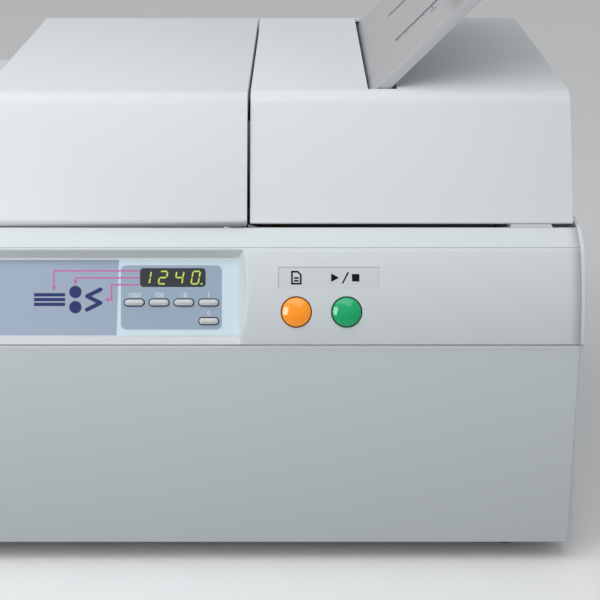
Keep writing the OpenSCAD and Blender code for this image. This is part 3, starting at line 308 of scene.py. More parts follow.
@dataclass(frozen=True)
class Finish:
    """A plain finish: one colour, a gloss and a grain."""

    name: str
    colour: Rgb
    roughness: float = 0.5
    metallic: float = 0.0
    specular: float = 0.5
    grain: Grain = Grain.SMOOTH

    def tone(self, graph: Graph) -> Union[Level, Rgba]:
        """Give the base colour, which a finish of several tones makes in the graph."""
        return linear(self.colour)

    def graph(self) -> Graph:
        """Make the material.

        Returns:
            The material's graph.
        """
        graph = Graph(bpy.data.materials.new(self.name))
        sockets = graph.shader.inputs
        graph.feed(sockets["Base Color"], self.tone(graph))
        sockets["Roughness"].default_value = self.roughness
        sockets["Metallic"].default_value = self.metallic
        sockets["Specular IOR Level"].default_value = self.specular
        if self.grain is Grain.MOULDED:
            height = graph.noise(graph.place(), GRAIN_SCALE)
            normal = graph.node("ShaderNodeBump", {}, {"Height": height, "Distance": GRAIN_DEPTH,
                                                       "Strength": GRAIN_STRENGTH}, "Normal")
            graph.feed(sockets["Normal"], normal)
        elif self.grain is Grain.BRUSHED:
            lines = graph.node("ShaderNodeVectorMath", {"operation": "MULTIPLY"},
                               {0: graph.place(), 1: BRUSH_SCALE})
            graph.feed(sockets["Roughness"], self.roughness + BRUSH_SWING * (graph.noise(lines, 1.0) - 0.5))
        return graph

    @functools.cache
    def material(self) -> bpy.types.Material:
        """Give the finish's material, made once."""
        return self.graph().owner


@dataclass(frozen=True)
class Glow(Finish):
    """A finish that gives light of its own: true light for the lit figures, painted light on the push-button
    caps.
    """

    strength: float = 1.0

    def graph(self) -> Graph:
        """Make the material with its light.

        Returns:
            The material's graph.
        """
        graph = super().graph()
        graph.shader.inputs["Emission Color"].default_value = linear(self.colour)
        graph.shader.inputs["Emission Strength"].default_value = self.strength
        return graph


@dataclass(frozen=True)
class ConsoleFinish(Finish):
    """Cover plastic with a painted highlight on the ledge's rim under the feed hood and painted shade on the
    recess's sill.
    """

    rim_colour: Rgb = (252, 255, 255)
    rim_a: float = 0.0
    rim_x: float = 0.0
    sill_colour: Rgb = (210, 215, 218)
    sill_a: float = 0.0
    sill_x: float = 0.0

    def tone(self, graph: Graph) -> Level:
        """Lay the sill's painted shade and the rim's painted highlight over the cover's colour.

        Args:
            graph: The material's graph.

        Returns:
            The colour.
        """
        x, a = graph.along(X_WAY), graph.up_face()
        tone = graph.blend((a < self.sill_a) * (x < self.sill_x), self.colour, self.sill_colour)
        return graph.blend((a > self.rim_a) * (x < self.rim_x), tone, self.rim_colour)


@dataclass(frozen=True)
class LowerFinish(Finish):
    """The lower cover's paint, with a painted highlight that pales it over a short height up to its top edge.
    """

    rim_colour: Rgb = (252, 255, 255)
    rim_h: float = 2.8 * MM
    top_z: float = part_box("lower_front_cover")[1][2]

    def tone(self, graph: Graph) -> Level:
        """Blend from the paint to the painted highlight by the share (z - top) / h + 1."""
        height = graph.along(Z_WAY) - (self.top_z - self.rim_h)
        return graph.blend((height * (1.0 / self.rim_h)).kept(), self.colour, self.rim_colour)


@dataclass(frozen=True)
class SealFinish(Finish):
    """A seal along X with painted shade: its tone falls from the hood's, along its top, to a dark one below."""

    foot_colour: Rgb = (146, 148, 148)
    dark_share: float = 0.3
    ends: Pair = (0.0, 1.0)
    heights: Pair = (0.0, 0.0)
    radii: Pair = (1.0, 1.0)

    def tone(self, graph: Graph) -> Level:
        """Paint shade by the share s = (z - c(x)) / 2 r(x) + 1 / 2 of the way from foot to top.

        Below the shade share k the tone is the foot's painted shade, and above it ((s - k) / (1 - k))^3 of the
        top's.

        Args:
            graph: The material's graph.

        Returns:
            The colour.
        """
        way = (graph.along(X_WAY) - self.ends[0]) * (1.0 / (self.ends[1] - self.ends[0]))
        middle, radius = (first + (last - first) * way for first, last in (self.heights, self.radii))
        share = (graph.along(Z_WAY) - middle) / (2.0 * radius) + 0.5
        light = ((share - self.dark_share) * (1.0 / (1.0 - self.dark_share))).kept()
        return graph.blend(light * light * light, self.foot_colour, self.colour)


@dataclass(frozen=True)
class LabelPrint(Finish):
    """The display label: a darker end, a pale field and a darker rounded plate behind the keys, with a painted
    shadow across the top of the end and the field.
    """

    end_colour: Rgb = (161, 178, 199)
    end_shade: Rgb = (132, 148, 171)
    field_shade: Rgb = (201, 222, 233)
    shade_a: Pair = (57.5 * MM, 65.5 * MM)
    plate_colour: Rgb = (158, 177, 199)
    border_x: Pair = (48.7 * MM, 50.6 * MM)
    border_rise: float = 58.0 * MM
    plate_x: Pair = (52.2 * MM, 130.4 * MM)
    plate_a: Pair = (11.3 * MM, 61.1 * MM)
    plate_r: float = 4.2 * MM

    def tone(self, graph: Graph) -> Level:
        """Lay out the three fields, with a painted shadow that deepens the two outer ones towards the top.

        The plate's edge is the distance to a rounded rectangle: q = |p - c| - h + r, and
        d = |max(q, 0)| + min(max(qx, qa), 0) - r, which is below 0 inside.

        Args:
            graph: The material's graph.

        Returns:
            The colour.
        """
        x, a = graph.along(X_WAY), graph.up_face()
        border = self.border_x[0] + a * ((self.border_x[1] - self.border_x[0]) / self.border_rise)
        across, along = self.past(x, self.plate_x), self.past(a, self.plate_a)
        outer_x, outer_a = across.at_least(0.0), along.at_least(0.0)
        edge = (outer_x * outer_x + outer_a * outer_a).root() + across.at_least(along).at_most(0.0)
        # Painted shadow of the recess's top wall, deepening the label towards its top.
        rise = ((a - self.shade_a[0]) * (1.0 / (self.shade_a[1] - self.shade_a[0]))).at_least(0.0)
        shade = (rise * rise).at_most(1.0)
        pale = graph.blend(shade, self.colour, self.field_shade)
        end = graph.blend(shade, self.end_colour, self.end_shade)
        return graph.blend(edge < self.plate_r, graph.blend(x < border, pale, end), self.plate_colour)

    def past(self, value: Level, ends: Pair) -> Level:
        """Give how far a value lies outside a span whose ends are drawn in by the corner radius."""
        return abs(value - 0.5 * (ends[0] + ends[1])) - (0.5 * (ends[1] - ends[0]) - self.plate_r)


@dataclass(frozen=True)
class RollerFinish(Finish):
    """A covered roller along Y whose shaft is bare steel inside a radius about its axis."""

    axis_x: float = 0.0
    axis_z: float = 0.0
    bare_r: float = 0.0

    def graph(self) -> Graph:
        """Make the material with its bare shaft.

        Returns:
            The material's graph.
        """
        graph = super().graph()
        x, z = graph.along(X_WAY) - self.axis_x, graph.along(Z_WAY) - self.axis_z
        bare = (x * x + z * z).root() < self.bare_r
        sockets = graph.shader.inputs
        graph.feed(sockets["Base Color"], graph.blend(bare, self.colour, BRIGHT.colour))
        graph.feed(sockets["Metallic"], bare)
        graph.feed(sockets["Roughness"], self.roughness + (BRIGHT.roughness - self.roughness) * bare)
        return graph


COVER = Finish("cover_plastic", (219, 226, 230), 0.46, specular=0.35, grain=Grain.MOULDED)
LOWER = LowerFinish("lower_panel_paint_and_highlight", (215, 223, 226), 0.5, specular=0.35, grain=Grain.MOULDED)
# The hoods' plastic is the cover plastic made paler: the extra paleness is painted light.
HOOD = Finish("hood_plastic", (226, 232, 236), 0.46, specular=0.35, grain=Grain.MOULDED)
SEAL_COLOUR = (214, 219, 222)
# The seal's end is dark grey as painted shade for the shadow under the fold hood.
SHADED_SEAL_END = Finish("seal_end_shaded", (104, 106, 106), 0.55)
STEEL = Finish("sheet_steel", (176, 178, 181), 0.38, metallic=1.0, grain=Grain.BRUSHED)
BRIGHT = Finish("bright_steel", (196, 198, 200), 0.28, metallic=1.0)
ALUMINIUM = Finish("plate_aluminium", (205, 207, 210), 0.36, metallic=1.0, grain=Grain.BRUSHED)
RUBBER = Finish("black_rubber", (38, 38, 40), 0.78, specular=0.3, grain=Grain.MOULDED)
BELTING = Finish("delivery_belting", (66, 68, 71), 0.7, specular=0.3, grain=Grain.MOULDED)
LABEL = LabelPrint("label_print_and_shadow", (216, 237, 247), 0.5)
LENS = Finish("smoked_lens", (55, 57, 65), 0.3, specular=0.3)
BLACK = Finish("black_plastic", (34, 35, 38), 0.5, grain=Grain.MOULDED)
ROCKER = Finish("rocker_plastic", (22, 22, 24), 0.25)
BOARD = Finish("circuit_board", (28, 92, 58), 0.45)
STRIP = Finish("legend_white", (212, 219, 222), 0.5)
# The caps are no lamps: their glow is painted light that brightens them.
ORANGE = Glow("orange_cap", (255, 150, 20), 0.07, specular=0.52, strength=0.2)
GREEN = Glow("green_cap", (0, 174, 110), 0.07, specular=0.42, strength=0.06)
KEYS = Finish("key_plastic", (206, 210, 213), 0.45)
GUIDES = Finish("guide_plastic", (214, 219, 221), 0.45, grain=Grain.MOULDED)
PAD = Finish("friction_pad", (110, 60, 38), 0.85)
ACETAL = Finish("gear_plastic", (226, 220, 200), 0.5)
BRONZE = Finish("bronze_bush", (176, 132, 78), 0.4, metallic=1.0)
MOTOR = Finish("motor_metal", (62, 63, 66), 0.45, metallic=0.4)
DIGITS = Glow("digit_light", (194, 216, 98), 0.5, specular=0.1, strength=0.24)
INK_WHITE = Finish("print_white", (228, 236, 243), 0.55)
INK_MAGENTA = Finish("print_magenta", (206, 100, 176), 0.55)
INK_NAVY = Finish("print_navy", (38, 50, 110), 0.55, specular=0.25)
INK_BLACK = Finish("print_black", (12, 13, 15), 0.65, specular=0.1)


def quads(rows: int, columns: int, round_columns: bool = False) -> np.ndarray:
    """Number the four corners of each cell of a grid of points.

    Args:
        rows: Points in the first direction.
        columns: Points in the second direction, which runs fastest.
        round_columns: Whether the last column joins the first.

    Returns:
        One row of four point numbers per cell.
    """
    row = np.arange(rows - 1)[:, None] * columns
    column = np.arange(columns if round_columns else columns - 1)[None, :]
    after = (column + 1) % columns
    return np.stack([row + column, row + after, row + columns + after, row + columns + column],
                    axis=-1).reshape(-1, 4)


def circle(count: int) -> np.ndarray:
    """Give the cosines and the sines of a full turn in even steps."""
    turn = np.linspace(0.0, 2 * math.pi, count, endpoint=False)
    return np.stack([np.cos(turn), np.sin(turn)])


def finished(name: str, mesh: bpy.types.Mesh, finish: Finish, body: str = ROOT_BODY,
             smooth: bool = True, sharp: float = SHARP) -> bpy.types.Object:
    """Dress a mesh and let it ride a body.

    Args:
        name: The object's name.
        mesh: Its shape.
        finish: What it is made of.
        body: The moving body that it rides.
        smooth: Whether its shading runs over its edges.
        sharp: Edges that turn more than this many degrees stay crisp.

    Returns:
        The new object.
    """
    mesh.materials.clear()
    mesh.materials.append(finish.material())
    mesh.validate()
    mesh.polygons.foreach_set("use_smooth", np.full(len(mesh.polygons), smooth))
    if smooth:
        mesh.set_sharp_from_angle(angle=math.radians(sharp))
    made = bpy.data.objects.new(name, mesh)
    bpy.context.scene.collection.objects.link(made)
    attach(made, body)
    LOG.info("%s: %d faces", name, len(mesh.polygons))
    return made


def piece(name: str, points: np.ndarray, faces: Iterable, finish: Finish, body: str = ROOT_BODY,
          toward: Optional[Place] = None, smooth: bool = True, sharp: float = SHARP) -> bpy.types.Object:
    """Make a finished object from points and faces, with points at one place made one.

    Args:
        name: The object's name.
        points: An array of places.
        faces: Point numbers of each face.
        finish: What it is made of.
        body: The moving body that it rides.
        toward: Which way most faces of an open surface look; a closed shape's look out.
        smooth: Whether its shading runs over its edges.
        sharp: Edges that turn more than this many degrees stay crisp.

    Returns:
        The new object.
    """
    mesh = bpy.data.meshes.new(name)
    mesh.from_pydata(points.reshape(-1, 3).tolist(), [], [[int(i) for i in face] for face in faces])
    shape = bmesh.new()
    shape.from_mesh(mesh)
    bmesh.ops.remove_doubles(shape, verts=shape.verts, dist=WELD)
    bmesh.ops.recalc_face_normals(shape, faces=shape.faces)
    if toward and sum(f.normal.dot(Vector(toward)) * f.calc_area() for f in shape.faces) < 0:
        bmesh.ops.reverse_faces(shape, faces=shape.faces)
    shape.to_mesh(mesh)
    shape.free()
    return finished(name, mesh, finish, body, smooth, sharp)


def ringed(name: str, points: np.ndarray, finish: Finish, body: str = ROOT_BODY,
           toward: Optional[Place] = None) -> bpy.types.Object:
    """Make a piece from an array of closed rings of points, as piece() does."""
    return piece(name, points, quads(*points.shape[:2], round_columns=True), finish, body, toward)


def dress(node: str, finish: Finish) -> None:
    """Give a solid its finish and leave its shape as it is.

    Args:
        node: The solid's name.
        finish: What it is made of.
    """
    mesh = frame["nodes"][node].data
    mesh.materials.clear()
    mesh.materials.append(finish.material())


def softened(node: str, finish: Finish, fine: float, outside: float) -> None:
    """Copy a solid, break its edges with small rounds and show the copy in its place.

    An edge between two faces that the whole solid lies behind is an outside edge.

    Args:
        node: The solid's name.
        finish: What it is made of.
        fine: How wide the round is on an inner edge.
        outside: How wide it is on an outside edge.
    """
    mesh = frame["nodes"][node].data.copy()
    shape = bmesh.new()
    shape.from_mesh(mesh)
    bmesh.ops.remove_doubles(shape, verts=shape.verts, dist=WELD)
    bmesh.ops.dissolve_limit(shape, angle_limit=FLAT_TURN, verts=shape.verts, edges=shape.edges,
                             use_dissolve_boundaries=False, delimit=set())
    points = np.array([v.co for v in shape.verts])
    hull = {f for f in shape.faces
            if np.max((points - np.array(f.verts[0].co)) @ np.array(f.normal)) < HULL_SLACK}
    share = shape.edges.layers.float.new("bevel_weight_edge")
    widest = max(fine, outside)
    for edge in shape.edges:
        if len(edge.link_faces) == 2 and edge.calc_face_angle() > ROUND_TURN:
            edge[share] = (outside if hull.issuperset(edge.link_faces) else fine) / widest
    shape.to_mesh(mesh)
    shape.free()
    made = finished(f"{node}_soft", mesh, finish, NODE_BODY[node], sharp=NEVER_SHARP)
    bevel = made.modifiers.new("edge_round", "BEVEL")
    bevel.width = widest
    bevel.segments = ROUND_STEPS
    bevel.limit_method = "WEIGHT"
    bevel.harden_normals = True
    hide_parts(node)


def soft_min(first: np.ndarray, second: np.ndarray, blend: float) -> np.ndarray:
    """Give the smaller of two heights, rounded where they cross: (u + v - sqrt((u - v)^2 + k^2)) / 2."""
    return 0.5 * (first + second - np.sqrt((first - second) ** 2 + blend**2))


def soft_max(first: np.ndarray, second: np.ndarray, blend: float) -> np.ndarray:
    """Give the larger of two heights, rounded where they cross."""
    return -soft_min(-first, -second, blend)


def graded(*spans: Place) -> np.ndarray:
    """Place grid lines with a step of their own in each stretch.

    Args:
        spans: The start, end and step of each stretch.

    Returns:
        The sorted lines, each one once.
    """
    parts = [np.linspace(start, end, max(2, round((end - start) / step) + 1)) for start, end, step in spans]
    return np.unique(np.round(np.concatenate(parts), 8))


def middle_x(node: str) -> float:
    """Give the middle of a solid along X."""
    low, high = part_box(node)
    return 0.5 * (low[0] + high[0])


@dataclass
class Console:
    """The console housing: a bulged face, a ledge behind it and a sloping display recess."""

    face_h: float = 74.8 * MM
    bulge: float = 4.0 * MM
    ledge_d: float = 20.0 * MM
    ledge_rise: float = 9.8 * MM
    lip: Pair = (10.0 * MM, 2.5 * MM)
    recess_depth: float = 6.5 * MM
    recess_bevel: float = 6.3 * MM
    recess_rise: float = 7.1 * MM
    recess_drop: float = 1.7 * MM
    label_t: float = 0.72 * MM
    lip_step: float = 0.8 * MM
    lip_fade: float = 1.2 * MM
    panel_margin: float = 0.6 * MM
    open_margin: float = 2.2 * MM
    strip_margin: float = 0.3 * MM
    strip_depth: float = 1.0 * MM
    strip_a: Pair = (43.4 * MM, 59.6 * MM)
    crease: float = 0.9 * MM
    recess_edge: float = 0.9 * MM
    recess_corner: float = 0.7 * MM
    label_corner: float = 0.175 * MM
    wall: float = 1.6 * MM
    # Width up the face of the painted highlight on the ledge's rear rim.
    rim: float = 1.0 * MM
    sharp: float = 50.0
    button_hole: float = 12.05 * MM
    hole_round: tuple[float, ...] = (0.0, 0.0, 0.1 * MM, 0.3 * MM, 0.6 * MM)
    hole_drop: tuple[float, ...] = (5.0 * MM, 0.3 * MM, 0.08 * MM, 0.0, 0.0)
    patch: float = 15.0 * MM
    patch_rings: int = 5
    draft: Place = (0.3, 0.66, 0.6)
    draft_a: Place = (36.0 * MM, 50.0 * MM, 74.0 * MM)

    def __post_init__(self) -> None:
        """Read the console's ends, the recess, the strip and the buttons from the solids."""
        low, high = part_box("console_housing")
        self.x_range = (low[0], high[0])
        low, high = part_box("display_panel")
        self.recess_x = (low[0] - self.panel_margin, high[0] + self.panel_margin)
        low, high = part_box("legend_strip")
        self.strip_x = (low[0] - self.strip_margin, high[0] + self.strip_margin)
        self.button_x = (middle_x("test_button"), middle_x("start_stop_button"))
        self.end_draft = self.eased_draft()
        self.recess_a = (self.recess_bevel, self.face_h - self.recess_drop - self.recess_rise)
        sin, cos = math.sin(FACE.tilt), math.cos(FACE.tilt)
        self.ledge_a = self.face_h + self.ledge_d * sin + self.ledge_rise * cos
        self.ledge_b = self.ledge_rise * sin - self.ledge_d * cos

    def eased_draft(self) -> tuple[np.ndarray, np.ndarray]:
        """Work out the lean of the recess's end walls from the foot to the head of the face.

        From the foot's draft it eases to the widest as s^2 (3 - 2 s), and near the head it falls evenly.

        Returns:
            Places up the face, one for each millimetre, and the draft there.
        """
        foot, widest, head = self.draft
        eased, falls, ends = self.draft_a
        a = np.linspace(0.0, ends, round(ends / MM) + 1)
        share = np.clip(a / eased, 0.0, 1.0)
        fall = np.clip((a - falls) / (ends - falls), 0.0, 1.0)
        return a, foot + (widest - foot) * share * share * (3 - 2 * share) + (head - widest) * fall

    def bulged(self, a: np.ndarray) -> np.ndarray:
        """Give the face's height: an arc over the chord, b = s - R + sqrt(R^2 - (a - h / 2)^2)."""
        radius = (self.face_h**2 / 4 + self.bulge**2) / (2 * self.bulge)
        return self.bulge - radius + np.sqrt(radius**2 - (a - self.face_h / 2) ** 2)

    def height(self, x: np.ndarray, a: np.ndarray) -> np.ndarray:
        """Give the height of the console's skin over the chord of its face.

        The bulge meets the ledge in a rounded crease, a step s exp((a - h) / f) below the ledge's lip.
        The recess is the highest of its floor and its four sloping walls, and the skin is the lower of
        bulge and recess, rounded where they meet.

        Args:
            x: Along the machine.
            a: Up the face.

        Returns:
            The heights b.
        """
        ledge = (a - self.face_h) * self.ledge_b / (self.ledge_a - self.face_h)
        skin = soft_min(self.bulged(a), ledge, self.crease)
        below = np.minimum(a - self.face_h, 0.0)
        skin -= self.lip_step * np.exp(below / self.lip_fade) * (a < self.face_h)
        deep = np.full_like(a, -self.recess_depth)
        top = deep + (a - self.recess_a[1]) * self.recess_depth / self.recess_rise
        bottom = deep + (self.recess_a[0] - a) * self.recess_depth / self.recess_bevel
        draft = np.interp(a, *self.end_draft)
        left = deep + (self.recess_x[0] - x) / draft
        right = deep + (x - self.recess_x[1]) / draft
        cut = soft_max(soft_max(top, bottom, self.recess_corner), soft_max(left, right, self.recess_corner),
                       self.recess_corner)
        cut = soft_max(cut, deep + self.label_t, self.label_corner)
        skin = soft_min(skin, cut, self.recess_edge)
        inside = ((x > self.strip_x[0]) & (x < self.strip_x[1])
                  & (a > self.strip_a[0]) & (a < self.strip_a[1]))
        return skin - self.strip_depth * inside

    def lines(self) -> tuple[np.ndarray, np.ndarray]:
        """Place the grid's lines, close together where the skin bends.

        Returns:
            The lines along x and up the face.
        """
        finest, fine, middling, row, coarse, wide = (s * MM for s in (0.1, 0.3, 0.5, 1.2, 2.0, 9.0))
        edge, crease = 0.04 * MM, 1.0 * MM
        wall_in, wall_out = 3.0 * MM, 9.0 * MM
        foot, head, ledge = 8.0 * MM, 64.0 * MM, 82.0 * MM
        left, right = self.recess_x
        spans = [(*self.x_range, wide), (left - wall_out, left + wall_in, fine),
                 (right - wall_in, right + wall_out, fine)]
        spans += [(x - edge, x + edge, 2 * edge) for x in self.strip_x]
        spans += [(x - self.patch, x + self.patch, coarse) for x in self.button_x]
        low, high = BUTTON_A - self.patch, BUTTON_A + self.patch
        tall = [(0.0, foot, fine), (foot, low, middling), (low, high, coarse), (high, head, coarse),
                (head, ledge, fine), (ledge, self.ledge_a, row),
                (self.face_h - crease, self.face_h + crease, finest)]
        tall += [(a - edge, a + edge, 2 * edge) for a in self.strip_a]
        return graded(*spans), graded(*tall)

    def button_ring(self, centre_x: float, xs: np.ndarray, rows: np.ndarray) -> np.ndarray:
        """Lay a patch round a button's hole, from a circle out to a square of the grid.

        A point is circle + t (square - circle), and the hole's wall goes down below the circle.

        Args:
            centre_x: The button's middle.
            xs: Grid lines along x inside the square, its sides included.
            rows: Grid lines up the face inside the square, its sides included.

        Returns:
            Places in rows from the wall's lower edge to the square, as rings x points x 3.
        """
        square_x = np.concatenate([xs, np.full(len(rows) - 1, xs[-1]), xs[-2::-1],
                                   np.full(len(rows) - 2, xs[0])])
        square_a = np.concatenate([np.full(len(xs), rows[0]), rows[1:], np.full(len(xs) - 1, rows[-1]),
                                   rows[-2:0:-1]])
        angle = np.arctan2(square_a - BUTTON_A, square_x - centre_x)
        radius = np.array(self.hole_round)[:, None] + self.button_hole
        ring_x = centre_x + radius * np.cos(angle)
        ring_a = BUTTON_A + radius * np.sin(angle)
        ring_b = self.height(ring_x, ring_a) - np.array(self.hole_drop)[:, None]
        share = np.linspace(0.0, 1.0, self.patch_rings + 1)[1:, None]
        out_x = ring_x[-1] + share * (square_x - ring_x[-1])
        out_a = ring_a[-1] + share * (square_a - ring_a[-1])
        return np.concatenate([FACE.world(ring_x, ring_a, ring_b),
                               FACE.world(out_x, out_a, self.height(out_x, out_a))])

    def build(self) -> None:
        """Build the housing's skin with its button holes, open below the display panel."""
        xs, rows = self.lines()
        grid_x, grid_a = np.meshgrid(xs, rows)
        grid_b = self.height(grid_x, grid_a)
        back = np.array(self.lip)[:, None]
        all_x = np.concatenate([np.broadcast_to(xs, (2, len(xs))), grid_x])
        all_a = np.concatenate([np.broadcast_to(back * math.sin(FACE.tilt), (2, len(xs))), grid_a])
        all_b = np.concatenate([grid_b[0] - back * math.cos(FACE.tilt), grid_b])
        cells = quads(*all_x.shape)
        mid_x, mid_a = (value.ravel()[cells].mean(axis=1) for value in (all_x, all_a))
        margin = self.open_margin
        dropped = ((mid_x > self.recess_x[0] + margin) & (mid_x < self.recess_x[1] - margin)
                   & (mid_a > self.recess_a[0] + margin) & (mid_a < self.recess_a[1] - margin))
        for x in self.button_x:
            dropped |= (np.abs(mid_a - BUTTON_A) < self.patch) & (np.abs(mid_x - x) < self.patch)
        dropped[:2 * (len(xs) - 1)] = False
        faces, points = [cells[~dropped]], [FACE.world(all_x, all_a, all_b).reshape(-1, 3)]
        near = self.patch + WELD
        for x in self.button_x:
            ring = self.button_ring(x, xs[np.abs(xs - x) < near], rows[np.abs(rows - BUTTON_A) < near])
            faces.append(quads(*ring.shape[:2], round_columns=True) + sum(map(len, points)))
            points.append(ring.reshape(-1, 3))
        # The console's plastic has a painted highlight on the ledge's rear rim, which the feed hood shades, and
        # painted shade on the recess's sill.
        finish = ConsoleFinish(**vars(COVER) | {"name": "console_plastic_painted_light"}, rim_a=self.ledge_a - self.rim,
                               rim_x=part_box("feed_hood")[1][0], sill_a=self.recess_bevel,
                               sill_x=self.recess_x[1] + self.end_draft[1][0] * self.recess_depth)
        made = piece("console_skin", np.concatenate(points), np.concatenate(faces), finish, toward=FACE.out,
                     sharp=self.sharp)
        shell = made.modifiers.new("wall", "SOLIDIFY")
        shell.thickness = self.wall
        shell.offset = -1.0
        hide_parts("console_housing")


@dataclass
class PushButton:
    """A round push button: a dome that rolls over into a straight skirt, with a flange below."""

    node: str
    finish: Finish
    radius: float = 11.2 * MM
    dome: float = 26.0 * MM
    top: float = 6.93 * MM
    roll: float = 1.0 * MM
    flange_r: float = 13.6 * MM
    flange_b: Pair = (-3.3 * MM, -1.3 * MM)
    crown_steps: int = 20
    roll_steps: int = 8

    def profile(self) -> tuple[np.ndarray, np.ndarray]:
        """Give the cap's half section, from the crown to the middle of its underside.

        Returns:
            Radii and heights: a circle of the dome's radius, a roll tangent to it and to the skirt, then
            straight lines round the flange.
        """
        crown_r = np.linspace(0.0, self.radius - self.roll, self.crown_steps)
        crown_b = self.top - self.dome + np.sqrt(self.dome**2 - crown_r**2)
        lean = math.asin(crown_r[-1] / self.dome)
        round_r = self.roll / (1 - math.sin(lean))
        turn = np.linspace(lean, math.pi / 2, self.roll_steps + 1)[1:]
        roll_r = self.radius - round_r + round_r * np.sin(turn)
        roll_b = crown_b[-1] - round_r * math.cos(lean) + round_r * np.cos(turn)
        low, high = self.flange_b
        under_r, under_b = [self.radius, self.flange_r, self.flange_r, 0.0], [high, high, low, low]
        return np.concatenate([crown_r, roll_r, under_r]), np.concatenate([crown_b, roll_b, under_b])

    def build(self) -> None:
        """Turn the half section about the button's axis."""
        radii, heights = (value[:, None] for value in self.profile())
        cos, sin = circle(BUTTON_STEPS)
        points = FACE.world(middle_x(self.node) + radii * cos, BUTTON_A + radii * sin, heights)
        made = ringed(f"{self.node}_cap", points, self.finish, NODE_BODY[self.node])
        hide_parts(self.node)


@dataclass
class Gasket:
    """A dark rubber ring in the gap between a button and its hole, a little below the face: a gasket whose
    black also stands in for the shade in the gap, as painted shade.
    """

    console: Console
    drop: float = 0.7 * MM
    reach: Pair = (-0.8 * MM, 0.2 * MM)

    def build(self, name: str, centre_x: float) -> None:
        """Lay the ring round a button's middle.

        Args:
            name: The ring's name.
            centre_x: The button's middle.
        """
        cos, sin = circle(BUTTON_STEPS)
        radius = np.array(self.reach)[:, None] + self.console.button_hole
        a = BUTTON_A + radius * sin
        points = FACE.world(centre_x + radius * cos, a, self.console.bulged(a) - self.drop)
        ringed(name, points, RUBBER, toward=FACE.out)


KEY_ROWS: tuple[tuple[str, float, float, str], ...] = (
    ("key_thousands", 32.3 * MM, 37.9 * MM, "1000"),
    ("key_hundreds", 32.3 * MM, 37.9 * MM, "100"),
    ("key_tens", 32.3 * MM, 37.9 * MM, "10"),
    ("key_units", 32.3 * MM, 37.9 * MM, "1"),
    ("key_reset", 17.9 * MM, 23.9 * MM, "0"),
)


@dataclass
class Key:
    """A small key with round ends, a rolled edge and a slightly crowned top."""

    node: str
    a: float
    length: float = 14.8 * MM
    width: float = 4.8 * MM
    top: float = -3.8 * MM
    roll: float = 1.1 * MM
    crown: float = 0.4 * MM
    low: float = -11.2 * MM
    round_steps: int = 48
    roll_steps: int = 7
    crown_steps: int = 5

    def build(self) -> None:
        """Carry the key's outline up its edge and over its roll to the crown.

        The outline is a bar with round ends, (+-c + r cos t, r sin t), whose radius shrinks to a line.
        """
        half = 0.5 * self.width
        flat = half - self.roll
        turn = np.linspace(0.0, math.pi / 2, self.roll_steps)
        top_r = np.linspace(flat, 0.0, self.crown_steps + 1)[1:]
        radii = np.concatenate([[0.0, half], flat + self.roll * np.cos(turn), top_r])[:, None]
        heights = np.concatenate([[self.low, self.low], self.top - self.roll + self.roll * np.sin(turn),
                                  self.top + self.crown * (1 - (top_r / flat) ** 2)])[:, None]
        angle = (np.linspace(-math.pi / 2, 1.5 * math.pi, self.round_steps, endpoint=False)
                 + math.pi / self.round_steps)
        centre = 0.5 * (self.length - self.width) * np.sign(np.cos(angle))
        points = FACE.world(middle_x(self.node) + centre + radii * np.cos(angle),
                            self.a + radii * np.sin(angle), heights)
        made = ringed(f"{self.node}_cap", points, KEYS, NODE_BODY[self.node])
        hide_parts(self.node)


def bar(start: Pair, end: Pair, width: float) -> np.ndarray:
    """Give the four corners of a straight stroke.

    Args:
        start: Where it begins.
        end: Where it ends.
        width: How wide it is.

    Returns:
        The corners in order.
    """
    first, last = np.array(start), np.array(end)
    way = (last - first) / np.linalg.norm(last - first)
    side = 0.5 * width * np.array([-way[1], way[0]])
    return np.array([first - side, last - side, last + side, first + side])


def stroke(bends: Sequence[Pair], width: float) -> list[np.ndarray]:
    """Give a bent stroke as one bar per stretch, each carried half a width past its ends.

    Args:
        bends: Its ends and the bends between them.
        width: How wide it is.

    Returns:
        The bars.
    """
    bars = []
    for start, end in zip(bends[:-1], bends[1:]):
        way = np.subtract(end, start)
        reach = 0.5 * width * way / np.linalg.norm(way)
        bars.append(bar(start - reach, end + reach, width))
    return bars


def spot(centre: Pair, radius: float, count: int = 36) -> np.ndarray:
    """Give a filled round spot."""
    return np.array(centre) + radius * circle(count).T


def flat_lift(b: float) -> Lift:
    """Give the lift of a flat print, the same all over."""
    return lambda a: np.full_like(a, b)


def printed(name: str, shapes: Sequence[np.ndarray], finish: Finish, lift: Lift) -> None:
    """Lay flat shapes on the leaning face, each a hair over the last so that no two share a plane.

    Args:
        name: The print's name.
        shapes: Outlines as rows of (x, a).
        finish: The ink.
        lift: Gives the height over the face's chord from a.
    """
    flat = np.concatenate(shapes)
    sizes = [len(shape) for shape in shapes]
    faces = [range(end - size, end) for size, end in zip(sizes, np.cumsum(sizes))]
    heights = lift(flat[:, 1]) + INK_STEP * np.repeat(np.arange(len(shapes)), sizes)
    piece(name, FACE.world(flat[:, 0], flat[:, 1], heights), faces, finish, toward=FACE.out, smooth=False)


def number(name: str, figures: str, place: Matrix, size: float, finish: Finish) -> None:
    """Print a plain number.

    Args:
        name: The print's name.
        figures: Its figures.
        place: Where its middle goes and how it lies.
        size: Height of the type.
        finish: The ink.
    """
    curve = bpy.data.curves.new(name, "FONT")
    curve.body = figures
    curve.size = size
    curve.align_x = "CENTER"
    curve.align_y = "CENTER"
    holder = bpy.data.objects.new(name, curve)
    mesh = bpy.data.meshes.new_from_object(holder)
    bpy.data.objects.remove(holder)
    bpy.data.curves.remove(curve)
    mesh.transform(place)
    mesh.name = name
    finished(name, mesh, finish, smooth=False)


